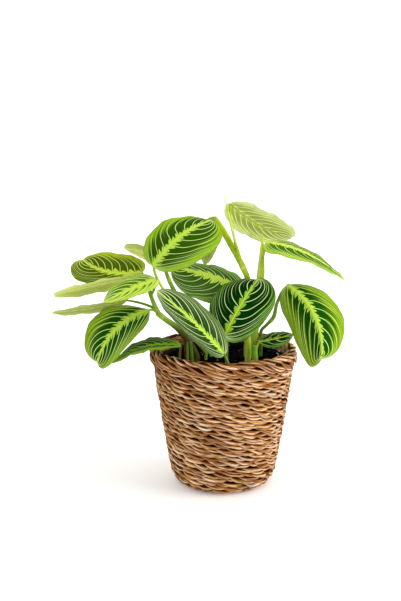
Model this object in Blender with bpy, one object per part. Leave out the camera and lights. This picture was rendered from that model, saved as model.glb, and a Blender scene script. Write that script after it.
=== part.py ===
"""Potted prayer plant (lime-veined maranta) in a woven basket, as separate closed solids.

The origin is the centre of the basket's flat underside, on the surface it stands on.  +X is to
the viewer's right, +Y away from the viewer and +Z up.  Lengths are metres; the plant's own
places are written in millimetres and scaled by MM.

The basket is a base, a wall and a braided border; a thin nursery pot stands inside it and holds
the soil.  The stems stand in sockets in the soil, and each stalk ends just under its own leaf.
"""

import math
from dataclasses import dataclass

import bmesh
import bpy
from mathutils import Vector

MM = 0.001
SEAT_GAP = 0.3
TURN_STEPS = 40

BASE_FLAT_RADIUS = 46.0
BASE_EDGE_RADIUS = 58.5
BASE_THICKNESS = 6.7
BASE_OUTLINE = (
    (BASE_FLAT_RADIUS, 0.0), (52.0, 1.2), (56.5, 4.0), (BASE_EDGE_RADIUS, BASE_THICKNESS),
)

WALL_THICKNESS = 6.0
WALL_BOTTOM = BASE_THICKNESS + SEAT_GAP
WALL_TOP = 157.2
WALL_OUTER_RADII = (
    (WALL_BOTTOM, 60.5), (20.0, 66.0), (52.0, 72.0), (99.0, 79.5), (130.0, 84.0), (WALL_TOP, 87.5),
)

RIM_CENTRE_RADIUS = 84.0
RIM_HALF_WIDTH = 6.0
RIM_HALF_HEIGHT = 8.0
RIM_SIDES = 12

POT_WALL = 1.0
POT_FLOOR = 1.5
POT_BOTTOM = BASE_THICKNESS + SEAT_GAP
POT_TOP = 160.0
POT_BOTTOM_RADIUS = 52.0
POT_TOP_RADIUS = 77.4

SOIL_TOP = 158.0
SOIL_CROWN = 1.5
SOIL_FLAT_SHARE = 0.8
SOCKET_DEPTH = 12.0
SOCKET_CLEARANCE = 0.35
SOCKET_SIDES = 12
FOOT_STRAIGHT = 3.0

STEM_SIDES = 8
PATH_STEPS = 2

BLADE_THICKNESS = 0.8
BLADE_MIN_HALF_WIDTH = 1.0
BLADE_STEPS_ALONG = 11
BLADE_STEPS_HALF = 3
BLADE_NORMAL_STEP = 0.02
WIDEST_AT = 0.45
BASE_BLUNTNESS = 2.3
TIP_POWER = 0.62

SMOOTH_ANGLE = math.radians(40)

SEAGRASS = ("seagrass", (0.48, 0.27, 0.12), 0.8)
BLACK_PLASTIC = ("black_plastic", (0.02, 0.02, 0.022), 0.45)
SOIL = ("soil", (0.016, 0.011, 0.010), 0.95)
LEAF_GREEN = ("leaf", (0.06, 0.24, 0.03), 0.4)
STEM_GREEN = ("stem", (0.30, 0.48, 0.06), 0.5)
DRY_BROWN = ("dry_stem", (0.23, 0.13, 0.05), 0.8)


@dataclass(frozen=True)
class Blade:
    """One leaf blade; lengths in millimetres, angles in degrees.

    base and tip are the ends of the midrib, and facing is the way the upper side looks.  Pairs
    hold the left half's value and the right half's, seen from above with the tip ahead.
    """

    name: str
    base: tuple
    tip: tuple
    facing: tuple
    width: float
    arch: float = 0.0
    bend: float = 0.0
    twist: float = 0.0
    fold: tuple = (0.0, 0.0)
    base_lobe: tuple = (0.0, 0.0)
    tip_lobe: tuple = (0.0, 0.0)
    widest: tuple = (WIDEST_AT, WIDEST_AT)
    share: tuple = (1.0, 1.0)
    tip_power: float = TIP_POWER

    def axes(self):
        """Return the base, the chord, and unit vectors along, across and up."""
        base = Vector(self.base)
        chord = Vector(self.tip) - base
        along = chord.normalized()
        facing = Vector(self.facing)
        up = (facing - along * facing.dot(along)).normalized()
        return base, chord, along, along.cross(up), up

    def point(self, u, v):
        """Return the middle surface's point: u runs base to tip, v from -1 (left) to 1 (right)."""
        base, chord, along, across, up = self.axes()
        half = 1 if v > 0 else 0
        reach = abs(v)
        hump = 4.0 * u * (1.0 - u)
        midrib = base + chord * u + up * (self.arch * hump) + across * (self.bend * hump)
        turn = math.radians(self.twist) * (2.0 * u - 1.0)
        side = across * math.cos(turn) + up * math.sin(turn)
        lift = up * math.cos(turn) - across * math.sin(turn)
        shape = outline(u, self.widest[half], self.tip_power)
        half_width = max(self.width / 2.0 * self.share[half] * shape, BLADE_MIN_HALF_WIDTH)
        fold = math.radians(self.fold[half])
        spread = side * math.copysign(math.cos(fold), v) + lift * math.sin(fold)
        lobe = self.tip_lobe[half] * u**3 - self.base_lobe[half] * (1.0 - u) ** 3
        sweep = along * (lobe * reach**2 * math.sqrt(outline(u, WIDEST_AT, TIP_POWER)))
        return midrib + spread * (half_width * reach) + sweep


def outline(u, widest, tip_power):
    """Return a half-blade's width at u as a share of its greatest, blunt at the base."""
    if u < widest:
        return math.sqrt(max(0.0, 1.0 - ((widest - u) / widest) ** BASE_BLUNTNESS))
    return max(0.0, 1.0 - ((u - widest) / (1.0 - widest)) ** 2) ** tip_power


BLADES = (
    Blade("leaf_upper_left", (-85, -30, 280), (-17, 26, 327), (-0.35, -0.75, 0.55), 80, arch=11,
          bend=-1, fold=(-4, -12), base_lobe=(4, 4), tip_lobe=(0, 12), widest=(0.50, 0.58),
          share=(0.93, 1.06)),
    Blade("leaf_top_right", (8, 30, 348), (86, 70, 299), (0.10, 0.80, 0.60), 56, arch=2, bend=-8,
          fold=(-5, -5), base_lobe=(6, 0), tip_lobe=(4, 8), widest=(0.50, 0.60),
          share=(0.90, 0.98), tip_power=0.50),
    Blade("leaf_right_upper", (53, 10, 303), (146, -20, 260), (0.45, -0.16, 0.90), 44, arch=9,
          twist=14, fold=(4, -10), base_lobe=(0, 4), widest=(0.50, 0.20), share=(0.72, 1.28),
          tip_power=0.90),
    Blade("leaf_right_hanging", (78, -10, 253), (117, -44, 168), (0.35, -0.80, 0.45), 76, arch=12,
          bend=-9, fold=(-4, -60), base_lobe=(0, 2), tip_lobe=(3, 13), widest=(0.62, 0.50),
          tip_power=0.36),
    Blade("leaf_front_right", (1, -42, 199), (41, 0, 257), (-0.10, -0.75, 0.60), 74, arch=10,
          bend=1, fold=(-6, -12), base_lobe=(0, 14), tip_lobe=(0, 18), widest=(0.45, 0.60),
          share=(1.0, 0.96)),
    Blade("leaf_front_centre", (-1, -60, 179), (-79, -66, 256), (0.20, -0.60, 0.75), 52, arch=5,
          fold=(12, 6), base_lobe=(2, 6), tip_lobe=(2, 2)),
    Blade("leaf_back_centre", (18, 14, 246), (-63, 30, 268), (0.0, -0.45, 0.90), 76, arch=6,
          bend=-2, fold=(-20, -14), base_lobe=(8, 8), tip_lobe=(4, 0), widest=(0.45, 0.30),
          share=(1.0, 0.88)),
    Blade("leaf_left_upper", (-100, 14, 264), (-178, 56, 273), (-0.20, -0.45, 0.85), 62, arch=2,
          bend=-13, fold=(4, 0), tip_lobe=(24, 2), widest=(0.62, 0.48), share=(1.0, 1.15)),
    Blade("leaf_left_long", (-95, -12, 265), (-204, -36, 246), (0.0, 0.50, 0.85), 44, arch=1,
          fold=(-8, -8), share=(1.15, 1.0), tip_power=0.4),
    Blade("leaf_left_bright", (-81, -35.4, 264.6), (-141, -64, 243), (0.10, -0.40, 0.90), 34,
          arch=2, fold=(-16, 10), base_lobe=(4, 0), widest=(0.28, 0.40), share=(0.75, 1.0)),
    Blade("leaf_left_lower", (-118, -16, 235), (-207, -32, 223), (0.0, 0.50, 0.85), 34, arch=-2,
          fold=(-4, -4)),
    Blade("leaf_left_hanging", (-89, -37, 228), (-151, -62, 170), (-0.10, -0.70, 0.60), 70, arch=9,
          bend=9, fold=(-10, -8), base_lobe=(-10, -8), tip_lobe=(10, 8), widest=(0.60, 0.62),
          share=(0.70, 1.0), tip_power=0.40),
    Blade("leaf_over_rim", (-52, -38, 184), (-134, -36, 162), (-0.10, -0.10, 0.95), 46, arch=10,
          fold=(4, 4)),
    Blade("leaf_small_right", (43, -12, 182), (86, -4, 190), (0.0, -0.35, 0.90), 30, arch=1,
          bend=2, fold=(4, -8), share=(0.82, 1.0), tip_power=0.80),
    Blade("leaf_back_left", (-73, 30, 278), (-125, 62, 287), (0.0, 0.60, 0.72), 46, arch=2,
          fold=(-4, -4)),
    Blade("leaf_top_back", (-10, 50, 329), (-23, 76, 264), (0.30, 0.70, 0.50), 28, arch=6, bend=-3,
          fold=(-10, -10)),
)


@dataclass(frozen=True)
class Stem:
    """One run of stem or stalk: points in millimetres, each with its radius.

    A rooted run starts with a straight foot in a socket in the soil, under its first point.
    """

    route: tuple
    rooted: bool = True

    def points(self):
        """Return the route's centres and radii, with the foot put before them when rooted."""
        listed = [(Vector(point[:3]), point[3]) for point in self.route]
        if not self.rooted:
            return listed
        top, radius = listed[0]
        depth = SOIL_TOP - SOCKET_DEPTH + SEAT_GAP
        heights = (depth, SOIL_TOP, SOIL_TOP + FOOT_STRAIGHT)
        foot = [(Vector((top.x, top.y, height)), radius) for height in heights]
        return foot + listed


STEMS = {
    "left_stem": (
        Stem(((-34, -18, 166, 4.2), (-42, -20, 182, 4.0), (-56, -24, 202, 3.8),
              (-71, -27, 214, 3.4), (-80, -29, 222, 3.6))),
        Stem(((-78, -29, 220, 3.0), (-83, -30, 230, 2.8), (-88, -29, 243, 2.5),
              (-92, -25, 257, 1.9)), rooted=False),
        Stem(((-79, -29, 221, 2.0), (-84, -32, 226, 1.6), (-88.2, -36.4, 227.8, 1.3)),
             rooted=False),
        Stem(((-82, -28, 227, 1.8), (-94, -23, 231, 1.6), (-106, -19, 233.6, 1.5),
              (-117.2, -16.2, 235, 1.2)), rooted=False),
        Stem(((-88, -29, 244, 1.8), (-84, -31, 252, 1.5), (-81, -34.8, 263.5, 1.3)),
             rooted=False),
        Stem(((-90, -28, 250, 1.7), (-96, -12, 253, 1.5), (-100, 6, 257, 1.4),
              (-100, 12.8, 262.3, 1.3)), rooted=False),
        Stem(((-92, -25, 256, 1.7), (-93.6, -18, 261, 1.5), (-94.8, -13.2, 263.4, 1.2)),
             rooted=False),
    ),
    "upper_left_stalk": (
        Stem(((-22, -4, 166, 1.8), (-32, -8, 180, 1.8), (-48, -14, 204, 1.7), (-63, -22, 231, 1.6),
              (-74, -27, 252, 1.6), (-82, -30, 268, 1.7), (-84.6, -30.4, 278, 1.5))),
    ),
    "back_left_stalk": (
        Stem(((-16, 8, 166, 2.2), (-24, 6, 180, 2.4), (-42, 3, 208, 2.6), (-63, 8, 246, 2.7),
              (-72, 20, 266, 2.2), (-73, 29.2, 277.2, 1.4))),
    ),
    "tall_stem": (
        Stem(((29.5, 8.5, 170, 4.0), (31.5, 14, 205, 3.8), (34, 17, 232, 3.6), (30, 16, 255, 3.4),
              (24, 15, 270, 3.8), (20, 18, 278, 3.6))),
        Stem(((22, 16, 274, 3.4), (9, 30, 297, 3.9), (-3, 41, 317, 3.4), (-9.2, 48.4, 327.7, 0.9)),
             rooted=False),
        Stem(((22, 16, 274, 2.4), (16, 22, 295, 2.0), (12, 25, 311, 1.6), (8.4, 28.2, 334, 1.3),
              (7.8, 29.2, 346.6, 1.2)), rooted=False),
    ),
    "new_leaf_spike": (
        Stem(((16.5, 18.6, 296, 1.0), (11.6, 20.6, 311, 1.4), (5.6, 20, 336, 1.5),
              (2.6, 19, 350, 0.8), (1, 18, 366, 0.25)), rooted=False),
    ),
    "centre_sheath": (
        Stem(((35, 0, 166, 4.2), (37, 1, 180, 4.2), (41, 3, 207, 4.4), (45, 8, 256, 5.0),
              (46.4, 9, 284, 3.4), (47, 10, 304, 1.6), (47, 10, 313, 0.5))),
        Stem(((47, 8.6, 282, 2.0), (50.2, 9.4, 293, 1.6), (52.4, 10, 301.4, 1.4)), rooted=False),
    ),
    "right_stalk": (
        Stem(((47, 14, 166, 2.1), (46.4, 10, 180, 2.1), (47, 7, 192, 2.1), (54, 3, 201, 2.1),
              (62, 2, 211, 2.6), (66, 8, 226, 2.1), (73, 12, 241, 1.9), (79, 3, 250, 1.7),
              (78.8, -8.2, 252.4, 1.4))),
    ),
    "front_right_stalk": (
        Stem(((3, -28, 166, 1.9), (3, -31, 184, 1.8), (1.3, -40.7, 198.0, 1.4))),
    ),
    "front_stalk": (
        Stem(((5, -59.5, 164, 1.7), (3.4, -60, 170, 1.6), (-0.4, -60, 178.2, 1.4))),
    ),
    "back_stalk": (
        Stem(((4, 12, 166, 1.9), (7, 12, 190, 1.8), (14, 13, 222, 1.7), (17.4, 13.8, 243.5, 1.5))),
    ),
    "rim_leaf_stalk": (
        Stem(((-54, -36, 164, 1.6), (-53.4, -37, 174, 1.5), (-52.2, -37.9, 183, 1.3))),
    ),
    "small_leaf_stalk": (
        Stem(((38, -16, 165, 1.5), (40, -14.4, 174, 1.5), (42.4, -12.4, 180.8, 1.2))),
    ),
    "brown_old_stem": (
        Stem(((-46, -8, 166, 2.3), (-47, -9, 180, 2.2), (-48, -10, 190, 1.2))),
    ),
    "green_stub_small": (
        Stem(((-44, -40, 166, 1.5), (-44, -40, 178, 1.5), (-44.4, -40, 189, 0.9))),
    ),
    "green_stub_large": (
        Stem(((-39, -32, 166, 2.0), (-39.6, -32, 178, 1.9), (-40.6, -32, 187, 1.3))),
    ),
    "pointed_sheath": (
        Stem(((29, -26, 166, 3.6), (29.4, -26, 180, 3.6), (29.6, -26.4, 192, 2.4),
              (29.4, -27, 201, 0.5))),
    ),
    "cut_stub": (
        Stem(((37.4, -36, 166, 3.5), (37, -36, 176, 3.4), (36.6, -36, 182, 3.4))),
    ),
}
DRY_STEMS = ("brown_old_stem",)


def clear_scene():
    """Remove the objects that the scene opened with."""
    for item in list(bpy.data.objects):
        bpy.data.objects.remove(item, do_unlink=True)


def make_material(finish):
    """Return a plain material from a finish's name, colour and roughness."""
    name, colour, roughness = finish
    material = bpy.data.materials.get(name) or bpy.data.materials.new(name)
    material.use_nodes = True
    shader = material.node_tree.nodes["Principled BSDF"]
    shader.inputs["Base Color"].default_value = (*colour, 1.0)
    shader.inputs["Roughness"].default_value = roughness
    shader.inputs["Metallic"].default_value = 0.0
    return material


def add_object(name, bm, finish):
    """Make an object in metres from a mesh drawn in millimetres, facing out and smooth."""
    bmesh.ops.recalc_face_normals(bm, faces=bm.faces[:])
    bmesh.ops.scale(bm, vec=Vector((MM, MM, MM)), verts=bm.verts[:])
    mesh = bpy.data.meshes.new(name)
    bm.to_mesh(mesh)
    bm.free()
    mesh.shade_smooth()
    mesh.set_sharp_from_angle(angle=SMOOTH_ANGLE)
    item = bpy.data.objects.new(name, mesh)
    item.data.materials.append(make_material(finish))
    bpy.context.scene.collection.objects.link(item)
    return item


def add_boolean(item, cutter, operation):
    """Join or cut an object with another one, which then stays as a hidden guide."""
    modifier = item.modifiers.new(cutter.name, "BOOLEAN")
    modifier.operation = operation
    modifier.solver = "EXACT"
    modifier.object = cutter
    cutter.hide_render = True
    cutter.display_type = "WIRE"


def skin_rings(bm, rings, closed):
    """Face the gaps between neighbouring rings; a ring of one vertex makes a fan."""
    pairs = list(zip(rings, rings[1:]))
    if closed:
        pairs.append((rings[-1], rings[0]))
    for lower, upper in pairs:
        count = max(len(lower), len(upper))
        for k in range(count):
            corners = [lower[k % len(lower)], lower[(k + 1) % len(lower)],
                       upper[(k + 1) % len(upper)], upper[k % len(upper)]]
            bm.faces.new(list(dict.fromkeys(corners)))


def turned(name, profile, finish, closed):
    """Turn a profile of radius and height about +Z; a closed one leaves the axis open."""
    bm = bmesh.new()
    rings = []
    for radius, height in profile:
        if radius == 0:
            rings.append([bm.verts.new((0.0, 0.0, height))])
            continue
        angles = [2.0 * math.pi * k / TURN_STEPS for k in range(TURN_STEPS)]
        rings.append([bm.verts.new((radius * math.cos(a), radius * math.sin(a), height))
                      for a in angles])
    skin_rings(bm, rings, closed)
    return add_object(name, bm, finish)


def smooth_route(points, steps):
    """Return centres and radii read from a smooth curve through the given ones."""
    ends = [points[0]] + points + [points[-1]]
    out = []
    for before, start, stop, after in zip(ends, ends[1:], ends[2:], ends[3:]):
        for k in range(steps):
            t = k / steps
            centre = 0.5 * (
                2.0 * start[0]
                + (stop[0] - before[0]) * t
                + (2.0 * before[0] - 5.0 * start[0] + 4.0 * stop[0] - after[0]) * t**2
                + (3.0 * start[0] - before[0] - 3.0 * stop[0] + after[0]) * t**3
            )
            out.append((centre, start[1] + (stop[1] - start[1]) * t))
    return out + [points[-1]]


def tube(name, points, finish):
    """Sweep a round section of changing radius along the points, with flat ends."""
    bm = bmesh.new()
    centres = [centre for centre, _ in points]
    side = Vector((1.0, 0.0, 0.0))
    rings = []
    for k, (centre, radius) in enumerate(points):
        ahead = (centres[min(k + 1, len(centres) - 1)] - centres[max(k - 1, 0)]).normalized()
        side = (side - ahead * side.dot(ahead)).normalized()
        other = ahead.cross(side)
        angles = [2.0 * math.pi * n / STEM_SIDES for n in range(STEM_SIDES)]
        rings.append([bm.verts.new(centre + (side * math.cos(a) + other * math.sin(a)) * radius)
                      for a in angles])
    skin_rings(bm, rings, closed=False)
    bm.faces.new(rings[0])
    bm.faces.new(rings[-1])
    return add_object(name, bm, finish)


def add_basket():
    """Make the basket's base, wall and braided border."""
    base = [(0, 0), *BASE_OUTLINE, (0, BASE_THICKNESS)]
    turned("basket_base", base, SEAGRASS, closed=False)
    outer = [(radius, height) for height, radius in WALL_OUTER_RADII]
    inner = [(radius - WALL_THICKNESS, height) for radius, height in reversed(outer)]
    turned("basket_wall", outer + inner, SEAGRASS, closed=True)
    rim_height = WALL_TOP + SEAT_GAP + RIM_HALF_HEIGHT
    angles = [2.0 * math.pi * k / RIM_SIDES for k in range(RIM_SIDES)]
    turned("basket_rim", [
        (RIM_CENTRE_RADIUS + RIM_HALF_WIDTH * math.cos(a), rim_height + RIM_HALF_HEIGHT * math.sin(a))
        for a in angles
    ], SEAGRASS, closed=True)


def pot_radius(height):
    """Return the nursery pot's outer radius at a height."""
    share = (height - POT_BOTTOM) / (POT_TOP - POT_BOTTOM)
    return POT_BOTTOM_RADIUS + (POT_TOP_RADIUS - POT_BOTTOM_RADIUS) * share


def add_nursery_pot():
    """Make the thin plastic pot that stands in the basket."""
    floor = POT_BOTTOM + POT_FLOOR
    turned("nursery_pot", [
        (0, POT_BOTTOM), (POT_BOTTOM_RADIUS, POT_BOTTOM), (POT_TOP_RADIUS, POT_TOP),
        (POT_TOP_RADIUS - POT_WALL, POT_TOP), (pot_radius(floor) - POT_WALL, floor), (0, floor),
    ], BLACK_PLASTIC, closed=False)


def rooted_feet():
    """Return the centre and radius of every foot that stands in the soil."""
    feet = []
    for runs in STEMS.values():
        for run in runs:
            if run.rooted:
                centre, radius = run.points()[0]
                feet.append((centre, radius))
    return feet


def add_soil():
    """Make the soil that fills the pot, slightly crowned, with a socket for every foot."""
    bottom = POT_BOTTOM + POT_FLOOR + SEAT_GAP
    inset = POT_WALL + SEAT_GAP
    soil = turned("potting_soil", [
        (0, bottom), (pot_radius(bottom) - inset, bottom),
        (pot_radius(SOIL_TOP - SOIL_CROWN) - inset, SOIL_TOP - SOIL_CROWN),
        (pot_radius(SOIL_TOP) * SOIL_FLAT_SHARE, SOIL_TOP), (0, SOIL_TOP),
    ], SOIL, closed=False)
    sockets = bmesh.new()
    for centre, radius in rooted_feet():
        spread = (radius + SOCKET_CLEARANCE) / math.cos(math.pi / SOCKET_SIDES)
        rings = []
        for height in (SOIL_TOP - SOCKET_DEPTH, SOIL_TOP + SOCKET_DEPTH):
            angles = [2.0 * math.pi * k / SOCKET_SIDES for k in range(SOCKET_SIDES)]
            rings.append([sockets.verts.new((centre.x + spread * math.cos(a),
                                             centre.y + spread * math.sin(a), height))
                          for a in angles])
        skin_rings(sockets, rings, closed=False)
        sockets.faces.new(rings[0])
        sockets.faces.new(rings[1])
    add_boolean(soil, add_object("soil_sockets", sockets, SOIL), "DIFFERENCE")


def add_stems():
    """Make every stem, its side runs joined to it where they grow from it."""
    for name, runs in STEMS.items():
        finish = DRY_BROWN if name in DRY_STEMS else STEM_GREEN
        trunk = tube(name, smooth_route(runs[0].points(), PATH_STEPS), finish)
        for number, run in enumerate(runs[1:], start=1):
            branch = tube(f"{name}_branch_{number}", smooth_route(run.points(), PATH_STEPS), finish)
            add_boolean(trunk, branch, "UNION")


def surface_normal(blade, u, v):
    """Return the blade's upward normal at u, v from its nearby points."""
    step = BLADE_NORMAL_STEP
    along = blade.point(min(u + step, 1.0), v) - blade.point(max(u - step, 0.0), v)
    across = blade.point(u, min(v + step, 1.0)) - blade.point(u, max(v - step, -1.0))
    return along.cross(across).normalized()


def add_blade(blade):
    """Make a leaf blade: two skins half a thickness off the middle surface, edged all round."""
    bm = bmesh.new()
    along = [(1.0 - math.cos(math.pi * k / BLADE_STEPS_ALONG)) / 2.0
             for k in range(BLADE_STEPS_ALONG + 1)]
    across = [k / BLADE_STEPS_HALF for k in range(-BLADE_STEPS_HALF, BLADE_STEPS_HALF + 1)]
    skins = []
    for offset in (BLADE_THICKNESS / 2.0, -BLADE_THICKNESS / 2.0):
        skins.append([[bm.verts.new(blade.point(u, v) + surface_normal(blade, u, v) * offset)
                       for v in across] for u in along])
    for rows in skins:
        for low, high in zip(rows, rows[1:]):
            for k in range(len(across) - 1):
                bm.faces.new((low[k], low[k + 1], high[k + 1], high[k]))
    edges = [border(rows) for rows in skins]
    skin_rings(bm, edges, closed=False)
    return add_object(blade.name, bm, LEAF_GREEN)


def border(rows):
    """Return a skin's outer vertices in order round it."""
    left = [row[0] for row in rows]
    right = [row[-1] for row in rows]
    return rows[0][:-1] + right[:-1] + rows[-1][:0:-1] + left[:0:-1]


def main():
    """Build the basket, the pot and its soil, the stems and the leaves."""
    clear_scene()
    add_basket()
    add_nursery_pot()
    add_soil()
    add_stems()
    for blade in BLADES:
        add_blade(blade)


main()
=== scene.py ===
"""The looks of the potted prayer plant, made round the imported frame.

Lengths in the mesh are metres.  The plant's own places and sizes are written in millimetres and
scaled by MM when a mesh is made.  The origin is the centre of the basket's underside, +X is to
the viewer's right, +Y away from the viewer and +Z up.
"""

import logging
import math
import random
from dataclasses import dataclass
from enum import Enum, IntEnum
from functools import cached_property
from typing import Optional, Sequence, Union

import bmesh
import bpy
import numpy as np
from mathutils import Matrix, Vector, noise


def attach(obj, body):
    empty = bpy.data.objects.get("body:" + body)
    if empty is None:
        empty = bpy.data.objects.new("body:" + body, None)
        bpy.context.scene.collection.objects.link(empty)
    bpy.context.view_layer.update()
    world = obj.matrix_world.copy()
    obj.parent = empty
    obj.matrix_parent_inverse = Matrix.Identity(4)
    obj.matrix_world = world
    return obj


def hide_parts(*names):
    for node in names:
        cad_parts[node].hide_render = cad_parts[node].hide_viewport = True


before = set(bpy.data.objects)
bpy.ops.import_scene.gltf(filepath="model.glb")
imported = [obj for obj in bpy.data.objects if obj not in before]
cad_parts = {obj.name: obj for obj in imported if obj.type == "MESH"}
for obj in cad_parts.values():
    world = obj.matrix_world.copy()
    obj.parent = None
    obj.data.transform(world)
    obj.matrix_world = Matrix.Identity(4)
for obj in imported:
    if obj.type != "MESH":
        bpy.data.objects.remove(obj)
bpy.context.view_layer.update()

MM = 0.001
FULL_TURN = 2.0 * math.pi
BODY = "root"
LOG = logging.getLogger("prayer_plant")

Pair = tuple[float, float]
Triple = tuple[float, float, float]
Steps = tuple[float, ...]
Route = tuple[tuple[float, float, float, float], ...]
Value = Union[float, Triple, "Signal"]
Reading = Union[float, np.ndarray]
WHITE = (1.0, 1.0, 1.0)


# ---------------------------------------------------------------------------------------------
# Workbench: objects, modifiers and sums
# ---------------------------------------------------------------------------------------------


def shade(code: str) -> Triple:
    """Turn a screen colour, as six hexadecimal figures, into linear red, green and blue."""
    parts = [int(code[k:k + 2], 16) / 255.0 for k in (0, 2, 4)]
    return tuple(p / 12.92 if p <= 0.04045 else ((p + 0.055) / 1.055) ** 2.4 for p in parts)


def smoothstep(low: float, high: float, value: np.ndarray) -> np.ndarray:
    """Return a soft step from 0 at low to 1 at high."""
    share = np.clip((value - low) / (high - low), 0.0, 1.0)
    return share * share * (3.0 - 2.0 * share)


def even_angles(count: int) -> np.ndarray:
    """Return angles spaced evenly round a full turn."""
    return FULL_TURN * np.arange(count) / count


def outward(angle: np.ndarray) -> np.ndarray:
    """Return the level way out from the upright axis at each angle."""
    return np.stack((np.cos(angle), np.sin(angle), np.zeros_like(angle)), axis=1)


def upward(count: int) -> np.ndarray:
    """Return the way up, once for each point."""
    return np.repeat(np.array(((0.0, 0.0, 1.0),)), count, axis=0)


def distances(points: np.ndarray) -> np.ndarray:
    """Return how far along a route each of its points lies."""
    return np.concatenate(([0.0], np.cumsum(np.linalg.norm(np.diff(points, axis=0), axis=1))))


def deselect() -> None:
    """Clear the selection, so that an operator acts on nothing by accident."""
    for item in bpy.context.selected_objects:
        item.select_set(False)


def choose(item: bpy.types.Object) -> None:
    """Make one object the only selected one and the active one.

    Args:
        item: The object.
    """
    deselect()
    item.select_set(True)
    bpy.context.view_layer.objects.active = item


def new_object(name: str, data: bpy.types.ID) -> bpy.types.Object:
    """Put a mesh, a light or a camera into the scene.

    Args:
        name: The object's name.
        data: What it shows.

    Returns:
        The object, at the origin.
    """
    item = bpy.data.objects.new(name, data)
    bpy.context.scene.collection.objects.link(item)
    return item


def apply_modifiers(item: bpy.types.Object) -> None:
    """Apply all of an object's modifiers in their order.

    Args:
        item: The object.
    """
    choose(item)
    for modifier in list(item.modifiers):
        bpy.ops.object.modifier_apply(modifier=modifier.name)


def join(name: str, items: Sequence[bpy.types.Object]) -> bpy.types.Object:
    """Join objects into one.

    Args:
        name: The name of the joined piece.
        items: The objects, the first of which is kept.

    Returns:
        The joined object.
    """
    choose(items[0])
    for item in items:
        item.select_set(True)
    bpy.ops.object.join()
    items[0].name = items[0].data.name = name
    return items[0]


def set_attribute(item: bpy.types.Object, name: str, values: np.ndarray) -> None:
    """Store one number a vertex, for a material to read."""
    layer = item.data.attributes.new(name, "FLOAT", "POINT")
    layer.data.foreach_set("value", np.asarray(values, dtype=np.float32).ravel())


def clad(item: bpy.types.Object, materials: Sequence[bpy.types.Material],
         chosen: int = 0) -> None:
    """Give an object its materials.

    Args:
        item: The object.
        materials: The materials, in their order.
        chosen: The number of the one that covers all of its faces.
    """
    item.data.materials.clear()
    for material in materials:
        item.data.materials.append(material)
    item.data.polygons.foreach_set("material_index", [chosen] * len(item.data.polygons))


def settle(piece: bpy.types.Object, node: str) -> None:
    """Seat a finished piece in the frame and report it.

    Args:
        piece: The piece, at the origin with its place in its mesh.
        node: The name of the solid that it stands for.
    """
    piece.name = piece.data.name = f"{node}_finished"
    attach(piece, BODY)
    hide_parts(node)
    piece.data.calc_loop_triangles()
    LOG.info("%s: %d triangles", piece.name, len(piece.data.loop_triangles))


# ---------------------------------------------------------------------------------------------
# Wiring of the finishes
# ---------------------------------------------------------------------------------------------


class Signal:
    """A number, colour or vector in a node tree, with which sums are written as usual."""

    def __init__(self, wiring: "Wiring", socket: bpy.types.NodeSocket) -> None:
        """Take hold of a node's output."""
        self.wiring = wiring
        self.socket = socket

    def __add__(self, other: Value) -> "Signal":
        """Add a number."""
        return self.wiring.math("ADD", self, other)

    def __sub__(self, other: Value) -> "Signal":
        """Take a number away."""
        return self.wiring.math("SUBTRACT", self, other)

    def __rsub__(self, other: Value) -> "Signal":
        """Take this away from a number."""
        return self.wiring.math("SUBTRACT", other, self)

    def __mul__(self, other: Value) -> "Signal":
        """Multiply by a number."""
        return self.wiring.math("MULTIPLY", self, other)

    def ease(self, low: Value, high: Value, start: Value = 0.0, end: Value = 1.0) -> "Signal":
        """Return a soft step.

        Args:
            low: Where the step begins.
            high: Where it ends, which may be below low.
            start: The number at low.
            end: The number at high.

        Returns:
            The step, level beyond both of its ends.
        """
        return self.wiring.add("ShaderNodeMapRange",
                               {"Value": self, "From Min": low, "From Max": high,
                                "To Min": start, "To Max": end},
                               "Result", interpolation_type="SMOOTHSTEP")


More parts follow.
